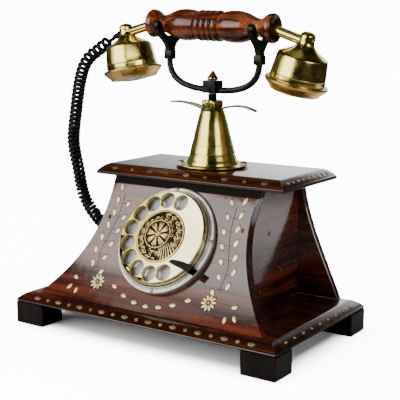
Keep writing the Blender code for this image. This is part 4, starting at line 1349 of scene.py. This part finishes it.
def make_floor():
    """White paper to the camera. What the telephone mirrors of it is painted light: a pool that is
    darker further out, and a bright patch behind.
    """
    mesh = bpy.data.meshes.new("floor")
    reach = 4.0
    corners = [(x * reach, y * reach, 0) for x, y in ((-1, -1), (1, -1), (1, 1), (-1, 1))]
    mesh.from_pydata(corners, [], [(0, 1, 2, 3)])
    floor = bpy.data.objects.new("floor", mesh)
    bpy.context.scene.collection.objects.link(floor)
    paper = Finish("floor_paper", (0.90, 0.92, 0.95), 0.9, Specular_IOR_Level=0.0)
    away = paper.node("ShaderNodeVectorMath", {0: paper.place}, operation="LENGTH").outputs["Value"]
    # painted light: the mirrored paper is painted brighter near the telephone and in a patch behind
    # it
    painted_light_near = paper.range(away, 0.036, 0.0015, 0.20, 0.60)
    painted_light_patch = paper.math("MULTIPLY", paper.range(paper.part("Y"), 0.0, 0.06, 0.16, 0.36),
                       paper.range(away, 1.0, 0.0, 0.60, 0.80))
    dim = paper.node("ShaderNodeBsdfDiffuse", {"Color": paper.math("ADD", painted_light_near, painted_light_patch)})
    paper.seen_apart("Material Output", dim.outputs[0], paper.shader.outputs[0])
    mesh.materials.append(paper.material)
    return floor


def floor_light(floor):
    """A wide overhead light for the paper alone, so that it goes white like the backdrop."""
    light = bpy.data.lights.new("floor_wash", "SUN")
    light.energy = FLOOR_WASH
    light.angle = math.radians(80)
    obj = bpy.data.objects.new("floor_wash", light)
    obj.location = (0, 0, 2)
    bpy.context.scene.collection.objects.link(obj)
    only = bpy.data.collections.new("floor_only")
    only.objects.link(floor)
    obj.light_linking.receiver_collection = only


def softbox(name, azimuth, elevation, distance, spread, radiance, mirrored, colour=(1, 1, 1),
            only=()):
    """A soft light that faces the telephone from that direction, unseen by the camera.

    spread is the half angle that it takes up to the sides and upward. The light is for matt
    surfaces; what polished ones mirror is a card just in front of it. A radiance of 0 leaves the
    light out. only names the pieces that see them, if not all do.
    """
    toward = compass_direction(azimuth, elevation)
    for part, strength, away in (("light", radiance, distance),
                                 ("card", mirrored, 0.97 * distance)):
        if not strength:
            continue
        width, height = (2 * away * math.tan(math.radians(angle)) for angle in spread)
        light = bpy.data.lights.new(f"{name}_{part}", "AREA")
        light.shape = "RECTANGLE"
        light.size = width
        light.size_y = height
        light.energy = strength * math.pi * width * height
        light.color = colour
        obj = bpy.data.objects.new(light.name, light)
        obj.location = Vector((0, 0, 0.12)) + toward * away
        obj.rotation_mode = "QUATERNION"
        obj.rotation_quaternion = toward.to_track_quat("Z", "Y")
        obj.visible_camera = False
        obj.visible_glossy = part == "card"
        obj.visible_diffuse = part == "light"
        bpy.context.scene.collection.objects.link(obj)
        if only:
            lit = bpy.data.collections.new(f"{name}_{part}_only")
            for piece in only:
                lit.objects.link(bpy.data.objects[piece])
            obj.light_linking.receiver_collection = lit


# the room that everything but the camera sees: degrees clockwise from the front, and radiance
ROOM = ((-180, (2.2, 2.2, 2.25)), (-152, (2.0, 2.0, 2.05)), (-138, (0.45, 0.45, 0.45)),
        (-112, (0.16, 0.16, 0.15)), (-62, (0.04, 0.05, 0.04)), (-52, (1.2, 1.2, 1.15)),
        (-14, (1.2, 1.2, 1.15)), (0, (1.0, 1.05, 0.98)), (9, (0.06, 0.08, 0.05)),
        (50, (0.05, 0.06, 0.045)), (58, (0.45, 0.42, 0.36)), (80, (0.45, 0.32, 0.20)),
        (92, (0.30, 0.17, 0.11)), (112, (0.22, 0.12, 0.08)), (124, (0.035, 0.040, 0.030)),
        (166, (0.10, 0.10, 0.10)), (174, (0.30, 0.30, 0.30)), (180, (2.2, 2.2, 2.25)))
ROOM_PEAK = 2.25


def make_world():
    """White behind the telephone for the camera; a photographer's room for everything else."""
    world = bpy.data.worlds.new("studio")
    bpy.context.scene.world = world
    world.use_nodes = True
    sky = Nodes(world.node_tree, "Generated")
    backdrop = sky.tree.nodes["Background"]
    backdrop.inputs["Color"].default_value = (1, 1, 1, 1)
    backdrop.inputs["Strength"].default_value = BACKDROP
    front = sky.math("MULTIPLY", sky.part("Y"), -1.0)
    compass = sky.math("ARCTAN2", sky.part("X"), front)
    stops = [((degrees + 180) / 360, tuple(c / ROOM_PEAK for c in colour))
             for degrees, colour in ROOM]
    round_room = sky.ramp(sky.range(compass, 0.0, 1.0, -math.pi, math.pi), stops)
    high = sky.range(sky.part("Z"), 1.0, 0.12, 0.35, 0.52)
    low = sky.range(sky.part("Z"), 0.10, 1.0, -0.02, 0.07)
    shade = sky.node("ShaderNodeVectorMath", {0: round_room, 3: sky.math("MULTIPLY", high, low)},
                     operation="SCALE").outputs[0]
    room = sky.node("ShaderNodeBackground", {"Color": shade, "Strength": ROOM_PEAK})
    sky.seen_apart("World Output", room.outputs[0], backdrop.outputs[0])


DIAL_FACES = ("finger_wheel_polished", "wheel_medallion_relief")


def make_lights():
    softbox("key_softbox", -24, 22, 1.15, (24.5, 19.8), 6.8, 3.3, (1.0, 0.96, 0.92))
    softbox("dial_softbox", -34, 48, 1.15, (13.5, 7.5), 0.0, 6.5, only=DIAL_FACES)
    softbox("side_softbox", -58, 14, 1.30, (10, 9), 12.0, 0.9)
    softbox("fill_softbox", 69, 18, 1.30, (13, 8), 6.0, 3.4)
    softbox("upper_softbox", 50, 29, 1.30, (34, 7), 1.2, 2.6, only=("transmitter_shell_spun",))
    make_world()


make_boards()
make_panels()
make_front_inlays()
make_edge_inlays()
make_side_stars()
dress_cad_wood()
make_wheel()
make_medallion()
make_dial_case()
make_dial_screws()
make_cone()
make_flange()
make_nut()
make_leaf_strip()
make_cradle()
make_handle()
for side, name, role in ((-1, "left", "transmitter"), (1, "right", "receiver")):
    make_tube(side, name)
    make_capsule(side, role)
make_gland()
make_grommet()
dress_rest()
floor_light(make_floor())
make_lights()
